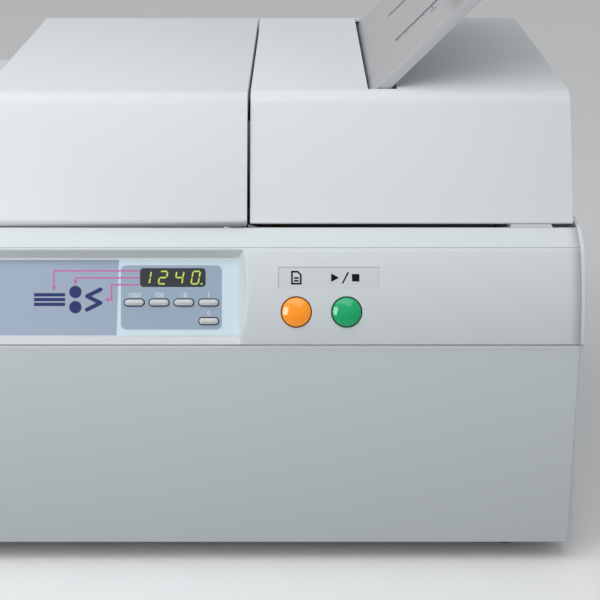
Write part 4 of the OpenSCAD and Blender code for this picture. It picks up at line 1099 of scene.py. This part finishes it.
@dataclass
class Readout:
    """The counter's lit figures: seven bars each, leaning a little."""

    figures: str = "1240"
    pitch: float = 12.63 * MM
    shift: float = -1.3 * MM
    height: float = 10.8 * MM
    width: float = 6.7 * MM
    bar_w: float = 1.15 * MM
    bar_gap: float = 0.2 * MM
    lean: float = math.radians(10.0)
    dot_r: float = 0.75 * MM
    dot: Pair = (23.1 * MM, -4.9 * MM)
    dot_steps: int = 20

    LIT: ClassVar = {"0": "abcdef", "1": "bc", "2": "abged", "3": "abgcd", "4": "fgbc", "5": "afgcd",
                     "6": "afgedc", "7": "abc", "8": "abcdefg", "9": "abcdfg"}
    SPOTS: ClassVar = {"a": (0, 2, 0), "b": (1, 1, 1), "c": (1, -1, 1), "d": (0, -2, 0), "e": (-1, -1, 1),
                       "f": (-1, 1, 1), "g": (0, 0, 0)}

    def lit_bar(self, letter: str) -> np.ndarray:
        """Give one bar of a figure as a six-cornered plate about the figure's middle.

        Args:
            letter: Its letter, from a at the top round to f, and g in the middle.

        Returns:
            The corners.
        """
        side, level, upright = self.SPOTS[letter]
        half_w = 0.5 * (self.width - self.bar_w)
        half_h = 0.25 * (self.height - self.bar_w)
        reach = (half_h if upright else half_w) - self.bar_gap
        thick = 0.5 * self.bar_w
        shape = np.array([(-reach, 0), (-reach + thick, thick), (reach - thick, thick), (reach, 0),
                          (reach - thick, -thick), (-reach + thick, -thick)])
        return (shape[:, ::-1] if upright else shape) + np.array([side * half_w, level * half_h])

    def build(self) -> None:
        """Light the figures just over the window's face, each place leant to (x + a tan(lean), a)."""
        shapes = []
        for i, figure in enumerate(self.figures):
            centre = np.array([(i - 0.5 * (len(self.figures) - 1)) * self.pitch + self.shift, 0.0])
            shapes += [self.lit_bar(letter) + centre for letter in self.LIT[figure]]
        shapes.append(spot(self.dot, self.dot_r, self.dot_steps))
        slope = np.array([[1.0, 0.0], [math.tan(self.lean), 1.0]])
        middle = np.array([middle_x("display_window"), WINDOW_A])
        printed("counter_figures", [shape @ slope + middle for shape in shapes], DIGITS,
                flat_lift(WINDOW_B + PRINT_LIFT))


@dataclass
class LabelDrawing:
    """The label's prints: key numbers, a drawing of stack, rollers and fold, and leaders to its parts.

    Leaders are given in millimetres along x and over the drawing's middle line: the bends after the
    window, the arrow's tip and the way that it points.
    """

    middle: float = 34.6 * MM
    bold: float = 2.6 * MM
    sheet_x: Pair = (-15.0 * MM, 9.0 * MM)
    sheet_pitch: float = 3.7 * MM
    roller: Pair = (17.0 * MM, 5.9 * MM)
    roller_r: float = 4.8 * MM
    fold_x: Pair = (26.0 * MM, 36.4 * MM)
    fold_pitch: float = 5.2 * MM
    fold_bold: float = 3.12 * MM
    thin: float = 1.15 * MM
    head: float = 3.8 * MM
    head_side: float = 0.45
    type_size: float = 5.0 * MM
    leaders: tuple[tuple[tuple[Pair, ...], Pair, Pair], ...] = (
        (((0.5, 22.2), (0.5, 9.5)), (0.5, 6.4), (0, -1)),
        (((17.0, 16.8), (17.0, 14.0)), (17.0, 11.2), (0, -1)),
        (((45.0, 11.4), (45.0, 0.0), (43.0, 0.0)), (39.4, 0.0), (-1, 0)),
    )

    def arrow(self, tip: np.ndarray, way: Pair) -> np.ndarray:
        """Give a filled arrow head with its tip at a place."""
        ahead, side = self.head * np.array(way), self.head * self.head_side * np.array([-way[1], way[0]])
        return np.array([tip, tip - ahead + side, tip - ahead - side])

    def build(self) -> None:
        """Print the numbers, the drawing and its leaders."""
        lift = PANEL_B + PRINT_LIFT
        for node, _, number_a, figures in KEY_ROWS:
            number(f"{node}_number", figures, FACE.matrix(middle_x(node), number_a, lift), self.type_size,
                   INK_WHITE)
        first, last = self.sheet_x
        levels = [self.middle + i * self.sheet_pitch for i in (-1, 0, 1)]
        shapes = [bar((first, a), (last, a), self.bold) for a in levels]
        x, off = self.roller
        shapes += [spot((x, self.middle + side * off), self.roller_r) for side in (-1, 1)]
        bends = [(self.fold_x[i % 2], self.middle + (i - 1.5) * self.fold_pitch) for i in range(4)]
        shapes += [bar(start, end, self.fold_bold) for start, end in zip(bends[:-1], bends[1:])]
        shapes += [spot(bend, 0.5 * self.fold_bold) for bend in bends]
        printed("label_drawing", shapes, INK_NAVY, flat_lift(lift))
        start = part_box("display_window")[0][0] + WINDOW_FLANGE - 0.5 * self.thin
        origin = np.array([0.0, self.middle])
        lines, heads = [], []
        for bends, tip, way in self.leaders:
            path = origin + np.array(bends) * MM
            lines += stroke([np.array([start, path[0, 1]]), *path], self.thin)
            heads.append(self.arrow(origin + np.array(tip) * MM, way))
        printed("label_leaders", lines + heads, INK_MAGENTA, flat_lift(lift))


@dataclass
class StripSigns:
    """Plain signs over the two buttons, a sheet, and go and stop, in millimetres about their middles."""

    console: Console
    middle: float = 51.4 * MM
    drop: float = 0.5 * MM
    lift: float = 4 * PRINT_LIFT
    line: float = 1.3
    sheet: tuple[Pair, ...] = ((-3.4, -4.6), (3.4, -4.6), (3.4, 2.2), (1.0, 4.6), (-3.4, 4.6), (-3.4, -4.6))
    text_a: Pair = (-2.4, -0.2)
    text_half: float = 1.8
    go: tuple[Pair, ...] = ((-12.0, -3.3), (-6.0, 0.0), (-12.0, 3.3))
    slash: tuple[Pair, Pair] = ((-3.2, -4.4), (1.2, 4.4))
    slash_w: float = 1.1
    stop: tuple[Pair, Pair] = ((4.0, 0.0), (9.7, 0.0))
    stop_w: float = 5.7

    def build(self) -> None:
        """Lay the signs on the strip."""
        sheet = stroke(self.sheet, self.line)
        sheet += [bar((-self.text_half, a), (self.text_half, a), self.line) for a in self.text_a]
        go = [np.array(self.go), bar(*self.slash, self.slash_w), bar(*self.stop, self.stop_w)]
        shapes = [shape * MM + np.array([x, self.middle])
                  for x, signs in zip(self.console.button_x, (sheet, go)) for shape in signs]
        printed("strip_signs", shapes, INK_BLACK,
                lambda a: self.console.bulged(a) - self.drop + self.lift)


@dataclass
class Rule:
    """A printed rule: a tick for each reading, and a longer one with a plain number every five."""

    name: str
    zero: np.ndarray
    along: np.ndarray
    out: np.ndarray
    readings: range
    pitch: float = CM
    tick: Pair = (4.0 * MM, 8.0 * MM)
    line: float = 0.8 * MM
    type_size: float = 8.0 * MM
    number_gap: float = 7.2 * MM
    number_step: int = 5

    def build(self) -> None:
        """Lay the ticks to the right of the rule's line, and the numbers past them.

        A tick's corners are zero + along (pitch r +- line / 2) + right (0 or its length), where right is
        along x out.
        """
        right = np.cross(self.along, self.out)
        reading = np.array(self.readings)
        numbered = reading % self.number_step == 0
        length = np.where(numbered, self.tick[1], self.tick[0])
        u = self.pitch * reading[:, None] + 0.5 * self.line * np.array([-1, -1, 1, 1])
        v = length[:, None] * np.array([0, 1, 1, 0])
        zero = self.zero + PRINT_LIFT * self.out
        points = zero + u[..., None] * self.along + v[..., None] * right
        piece(self.name, points, np.arange(u.size).reshape(-1, 4), INK_NAVY, toward=tuple(self.out),
              smooth=False)
        for value in reading[numbered]:
            middle = zero + self.pitch * value * self.along + (self.tick[1] + self.number_gap) * right
            number(f"{self.name}_{value}", str(value), laid(right, self.along, self.out, middle),
                   self.type_size, INK_NAVY)


def whole(first: float, last: float) -> range:
    """Give the whole numbers from one value to another."""
    return range(math.ceil(first), math.floor(last) + 1)


def rules() -> None:
    """Print a rule up the upper plate, beside its front slot, and one for the sheet's width on the table.

    The guides move together, so a centimetre of width takes half a centimetre of the table.
    """
    along, across, out = np.array([1.0, 0.0, 1.0]) / math.sqrt(2), np.array(Y_WAY), np.array(Z_WAY)
    plate = np.array([point.co for point in frame["nodes"]["upper_fold_plate"].data.vertices])
    slot = plate[np.abs(plate[:, 1] + SLOT_Y) < SLOT_REACH]
    face = np.cross(along, across)
    mouth = (plate @ along).min()
    zero = mouth * along + (slot @ face).max() * face + (slot[:, 1].min() - SLOT_GAP) * across
    up = (slot @ along - mouth) / CM
    Rule("plate_rule", zero, along, face, whole(up.min(), up.max())).build()
    guide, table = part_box("rear_paper_guide"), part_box("feed_table")
    start = np.array([guide[0][0] - GUIDE_GAP, 0.0, table[1][2]])
    near, far = ((guide[0][1] + side * GUIDE_TRAVEL) / CM for side in (-1, 1))
    Rule("table_rule", start, across, out, whole(2 * near, 2 * far), 0.5 * CM).build()


@dataclass
class HoodSeal:
    """The hoods' round seals over the ledge, which grow or taper along X, and the hood's bumper."""

    console: Console
    radii: Pair = (1.0 * MM, 2.9 * MM)
    end_gap: float = 0.9 * MM
    air: float = -0.35 * MM
    behind: float = 1.0 * MM
    tail_x: Pair = (-1.4 * MM, 7.0 * MM)
    tail_radii: Pair = (1.4 * MM, 0.3 * MM)
    tail_press: float = 0.2 * MM
    tail_drop: float = 0.6 * MM
    bumper_x: float = 133.7 * MM
    bumper: Place = (2.4 * MM, 1.5 * MM, 1.3 * MM)
    bumper_set: Pair = (0.15 * MM, -0.39 * MM)
    bumper_foot: float = -0.3
    bumper_steps: tuple[int, int] = (10, 32)

    def ledge_edge(self) -> np.ndarray:
        """Give a point on the ledge's rear edge."""
        return FACE.world(0.0, self.console.ledge_a, self.console.ledge_b)

    def seal(self) -> None:
        """Build the seal: circles of radius r(x) whose centres keep a gap over the ledge.

        With the ledge rising at an angle g, a centre lies behind the ledge's edge by a fixed length d and
        above it by (r + gap + d sin g) / cos g.
        """
        low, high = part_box("feed_hood")
        rise = math.atan2(self.console.ledge_rise, self.console.ledge_d)
        edge = self.ledge_edge()
        radii = np.array(self.radii)
        z = edge[2] + (radii + self.air + self.behind * math.sin(rise)) / math.cos(rise)
        ends = (low[0] + self.end_gap, high[0] - self.end_gap)
        # The seal's finish paints shade on its lower side.
        finish = SealFinish("hood_seal", SEAL_COLOUR, ends=ends, heights=tuple(z), radii=self.radii)
        self.tube("hood_seal", ends, np.full(2, edge[1] + self.behind), z, radii, finish,
                  NODE_BODY["feed_hood"])

    def tail(self) -> None:
        """Build the end of the fold hood's own seal, which tapers along the ledge's rear edge; its dark grey is
        painted shade under the hood.
        """
        low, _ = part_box("fold_hood")
        radii = np.array(self.tail_radii)
        edge = self.ledge_edge()
        self.tube("seal_end_shaded", low[0] + np.array(self.tail_x), edge[1] - self.tail_press + radii,
                  edge[2] - self.tail_drop + radii, radii, SHADED_SEAL_END, ROOT_BODY)

    @staticmethod
    def tube(name: str, x: Sequence[float], y: np.ndarray, z: np.ndarray, radii: np.ndarray, finish: Finish,
             body: str) -> None:
        """Build a closed cone along X: circles (y + r cos t, z + r sin t) at its ends, and their middles.

        Args:
            name: The piece's name.
            x: Where it begins and ends.
            y: The depth of its axis at each end.
            z: The height of its axis at each end.
            radii: Its radius at each end.
            finish: What it is made of.
            body: The body that carries it.
        """
        cos, sin = circle(SEAL_STEPS)
        end, depth, height, radius = (np.repeat(value, 2)[:, None] for value in (x, y, z, radii))
        shown = radius * np.array([0.0, 1.0, 1.0, 0.0])[:, None]
        places = np.broadcast_arrays(end, depth + shown * cos, height + shown * sin)
        ringed(name, np.stack(places, axis=-1), finish, body)

    def bump(self) -> None:
        """Build the bumper: the upper part of an ellipsoid c + (w cos u cos v, d cos u sin v, h sin u)."""
        edge = self.ledge_edge()
        width, depth, height = self.bumper
        rows, columns = self.bumper_steps
        up = np.linspace(self.bumper_foot, 0.5 * math.pi, rows)[:, None]
        cos, sin = circle(columns)
        back, rise = self.bumper_set
        places = np.broadcast_arrays(self.bumper_x + width * np.cos(up) * cos,
                                     edge[1] + back + depth * np.cos(up) * sin,
                                     edge[2] + rise + height * np.sin(up))
        ringed("hood_bumper", np.stack(places, axis=-1), KEYS, toward=Z_WAY)


def dress_roller(node: str, bare_r: float) -> None:
    """Cover a roller with rubber and leave its shaft bare.

    Args:
        node: The roller's solid, which lies along Y.
        bare_r: The radius about its axis that stays bare.
    """
    low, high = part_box(node)
    smooth = vars(RUBBER) | {"name": f"{node}_cover", "grain": Grain.SMOOTH}
    dress(node, RollerFinish(**smooth, bare_r=bare_r, axis_x=0.5 * (low[0] + high[0]),
                             axis_z=0.5 * (low[2] + high[2])))


@dataclass(frozen=True)
class FloorFinish(Finish):
    """A floor that looks pale, straight or mirrored, and throws back less light than it shows."""

    seen_colour: Rgb = (243, 244, 245)

    def tone(self, graph: Graph) -> Level:
        """Give the pale colour to the rays that show the floor."""
        return graph.blend(graph.seen(), self.colour, self.seen_colour)


@dataclass(frozen=True)
class Lamp:
    """A soft lamp: where it hangs, its size, its power in watts and whether it lights matt surfaces too."""

    name: str
    place: Place
    width: float
    height: float
    power: float
    matt: bool = True


@dataclass
class Studio:
    """A pale floor, an even world, a large lamp over the front left, a tall one beside it and a glint.

    The sky's strengths are those at the horizon and overhead, as light and as it is seen.
    """

    floor_paper: Finish = FloorFinish("floor_paper", (152, 154, 156), 0.9, specular=0.2)
    floor_half: float = 7.0
    sky_light: Pair = (0.12, 0.66)
    sky_seen: Pair = (0.55, 0.9)
    aim: Place = (0.12, -0.22, 0.26)
    lamps: tuple[Lamp, ...] = (
        Lamp("over_lamp", (-0.18, -0.76, 1.36), 2.1, 0.7, 9.3),
        Lamp("side_lamp", (-0.58, -1.16, 0.64), 0.38, 0.54, 3.4),
        Lamp("glint_lamp", (-0.62, -1.16, 0.61), 0.44, 0.62, 4.6, matt=False),
    )

    def floor(self) -> None:
        """Lay the floor that the feet stand on."""
        mesh = bpy.data.meshes.new("studio_floor")
        half = self.floor_half
        corners = [(-half, -half, 0.0), (half, -half, 0.0), (half, half, 0.0), (-half, half, 0.0)]
        mesh.from_pydata(corners, [], [(0, 1, 2, 3)])
        mesh.materials.append(self.floor_paper.material())
        made = bpy.data.objects.new("studio_floor", mesh)
        bpy.context.scene.collection.objects.link(made)

    def world(self) -> None:
        """Fill the room with even light, and show it paler where it is seen or mirrored."""
        room = bpy.data.worlds.new("studio_room")
        bpy.context.scene.world = room
        graph = Graph(room)
        height = graph.along(Z_WAY, "Generated").kept()
        skies = [graph.node("ShaderNodeBackground", {}, {"Color": (1.0, 1.0, 1.0, 1.0),
                                                         "Strength": low + (high - low) * height})
                 for low, high in (self.sky_light, self.sky_seen)]
        mix = graph.node("ShaderNodeMixShader", {}, {"Fac": graph.seen(), 1: skies[0], 2: skies[1]})
        graph.feed(graph.tree.nodes["World Output"].inputs["Surface"], mix)

    def hang(self, lamp: Lamp) -> None:
        """Hang a lamp and aim it at the console.

        Args:
            lamp: The lamp.
        """
        light = bpy.data.lights.new(lamp.name, "AREA")
        light.shape = "RECTANGLE"
        light.size = lamp.width
        light.size_y = lamp.height
        light.energy = lamp.power
        made = bpy.data.objects.new(lamp.name, light)
        made.location = lamp.place
        made.visible_diffuse = lamp.matt
        made.rotation_euler = (Vector(self.aim) - Vector(lamp.place)).to_track_quat("-Z", "Y").to_euler()
        bpy.context.scene.collection.objects.link(made)

    def camera(self) -> None:
        """Look square on the console's face, from the front."""
        lens = bpy.data.cameras.new("front_view")
        lens.lens = VIEW_LENS
        lens.sensor_width = VIEW_SENSOR
        made = bpy.data.objects.new("front_view", lens)
        made.location = Vector(VIEW_TARGET) + VIEW_DISTANCE * Vector(FACE.out)
        made.rotation_euler = (math.pi / 2 - FACE.tilt, 0.0, 0.0)
        bpy.context.scene.collection.objects.link(made)
        bpy.context.scene.camera = made

    def build(self) -> None:
        """Set up the room."""
        self.floor()
        self.world()
        for lamp in self.lamps:
            self.hang(lamp)
        self.camera()
        bpy.context.scene.view_settings.view_transform = "Standard"


PLAIN_DRESS: tuple[tuple[Finish, tuple[str, ...]], ...] = (
    (STEEL, ("front_side_frame", "rear_side_frame", "base_plate", "hood_hinge_brackets", "delivery_chute")),
    (BRIGHT, ("tie_bars", "hood_hinge_pins", "cover_screws")),
    (RUBBER, ("rubber_feet",)),
    (BELTING, ("delivery_belts", "drive_belt")),
    (LENS, ("display_window",)),
    (BLACK, ("display_module",)),
    (BOARD, ("panel_board", "control_board")),
    (STRIP, ("legend_strip",)),
    (PAD, ("separator_pad",)),
    (ACETAL, ("upper_roller_gear", "centre_roller_gear", "side_roller_gear", "lower_roller_gear",
              "drive_pulley", "motor_pulley")),
    (BRONZE, ("roller_bushes",)),
    (MOTOR, ("drive_motor",)),
)
SOFT_DRESS: tuple[tuple[Finish, float, float, tuple[str, ...]], ...] = (
    (HOOD, 0.5 * MM, 2.2 * MM, ("feed_hood", "fold_hood")),
    (COVER, 0.4 * MM, 0.8 * MM, ("left_cover", "right_cover")),
    (COVER, 0.4 * MM, 0.4 * MM, ("rear_cover",)),
    (LOWER, 0.6 * MM, 0.6 * MM, ("lower_front_cover",)),
    (COVER, 0.5 * MM, 1.0 * MM, ("feed_table",)),
    (COVER, 0.5 * MM, 0.8 * MM, ("delivery_tray",)),
    (GUIDES, 0.5 * MM, 0.8 * MM, ("stacker", "front_paper_guide", "rear_paper_guide")),
    (ALUMINIUM, 0.3 * MM, 0.3 * MM, ("upper_fold_plate", "lower_fold_plate")),
    (BLACK, 0.4 * MM, 0.6 * MM, ("upper_fold_stop", "lower_fold_stop")),
    (BLACK, 0.5 * MM, 0.5 * MM, ("upper_stop_knob",)),
    (BLACK, 0.3 * MM, 0.4 * MM, ("power_inlet",)),
    (ROCKER, 0.4 * MM, 0.4 * MM, ("power_switch",)),
)
ROLLERS: tuple[tuple[float, tuple[str, ...]], ...] = (
    (6.3 * MM, ("fold_roller_upper", "fold_roller_centre", "fold_roller_side", "fold_roller_lower",
                "feed_roller", "pickup_roller")),
    (5.3 * MM, ("delivery_drive_roller", "delivery_idler_roller")),
)


def main() -> None:
    """Dress the solids, add the finer pieces and set up the room."""
    logging.basicConfig(level=logging.INFO, format="%(name)s: %(message)s")
    console = Console()
    console.build()
    gasket_and_shade = Gasket(console)
    for node, finish in (("test_button", ORANGE), ("start_stop_button", GREEN)):
        PushButton(node, finish).build()
        gasket_and_shade.build(f"{node}_gasket", middle_x(node))
    for node, key_a, _, _ in KEY_ROWS:
        Key(node, key_a).build()
    dress("display_panel", LABEL)
    Readout().build()
    LabelDrawing().build()
    StripSigns(console).build()
    rules()
    seal = HoodSeal(console)
    seal.seal()
    seal.tail()
    seal.bump()
    for finish, nodes in PLAIN_DRESS:
        for node in nodes:
            dress(node, finish)
    for finish, fine, outside, nodes in SOFT_DRESS:
        for node in nodes:
            softened(node, finish, fine, outside)
    for bare_r, nodes in ROLLERS:
        for node in nodes:
            dress_roller(node, bare_r)
    Studio().build()


if __name__ == "__main__":
    main()
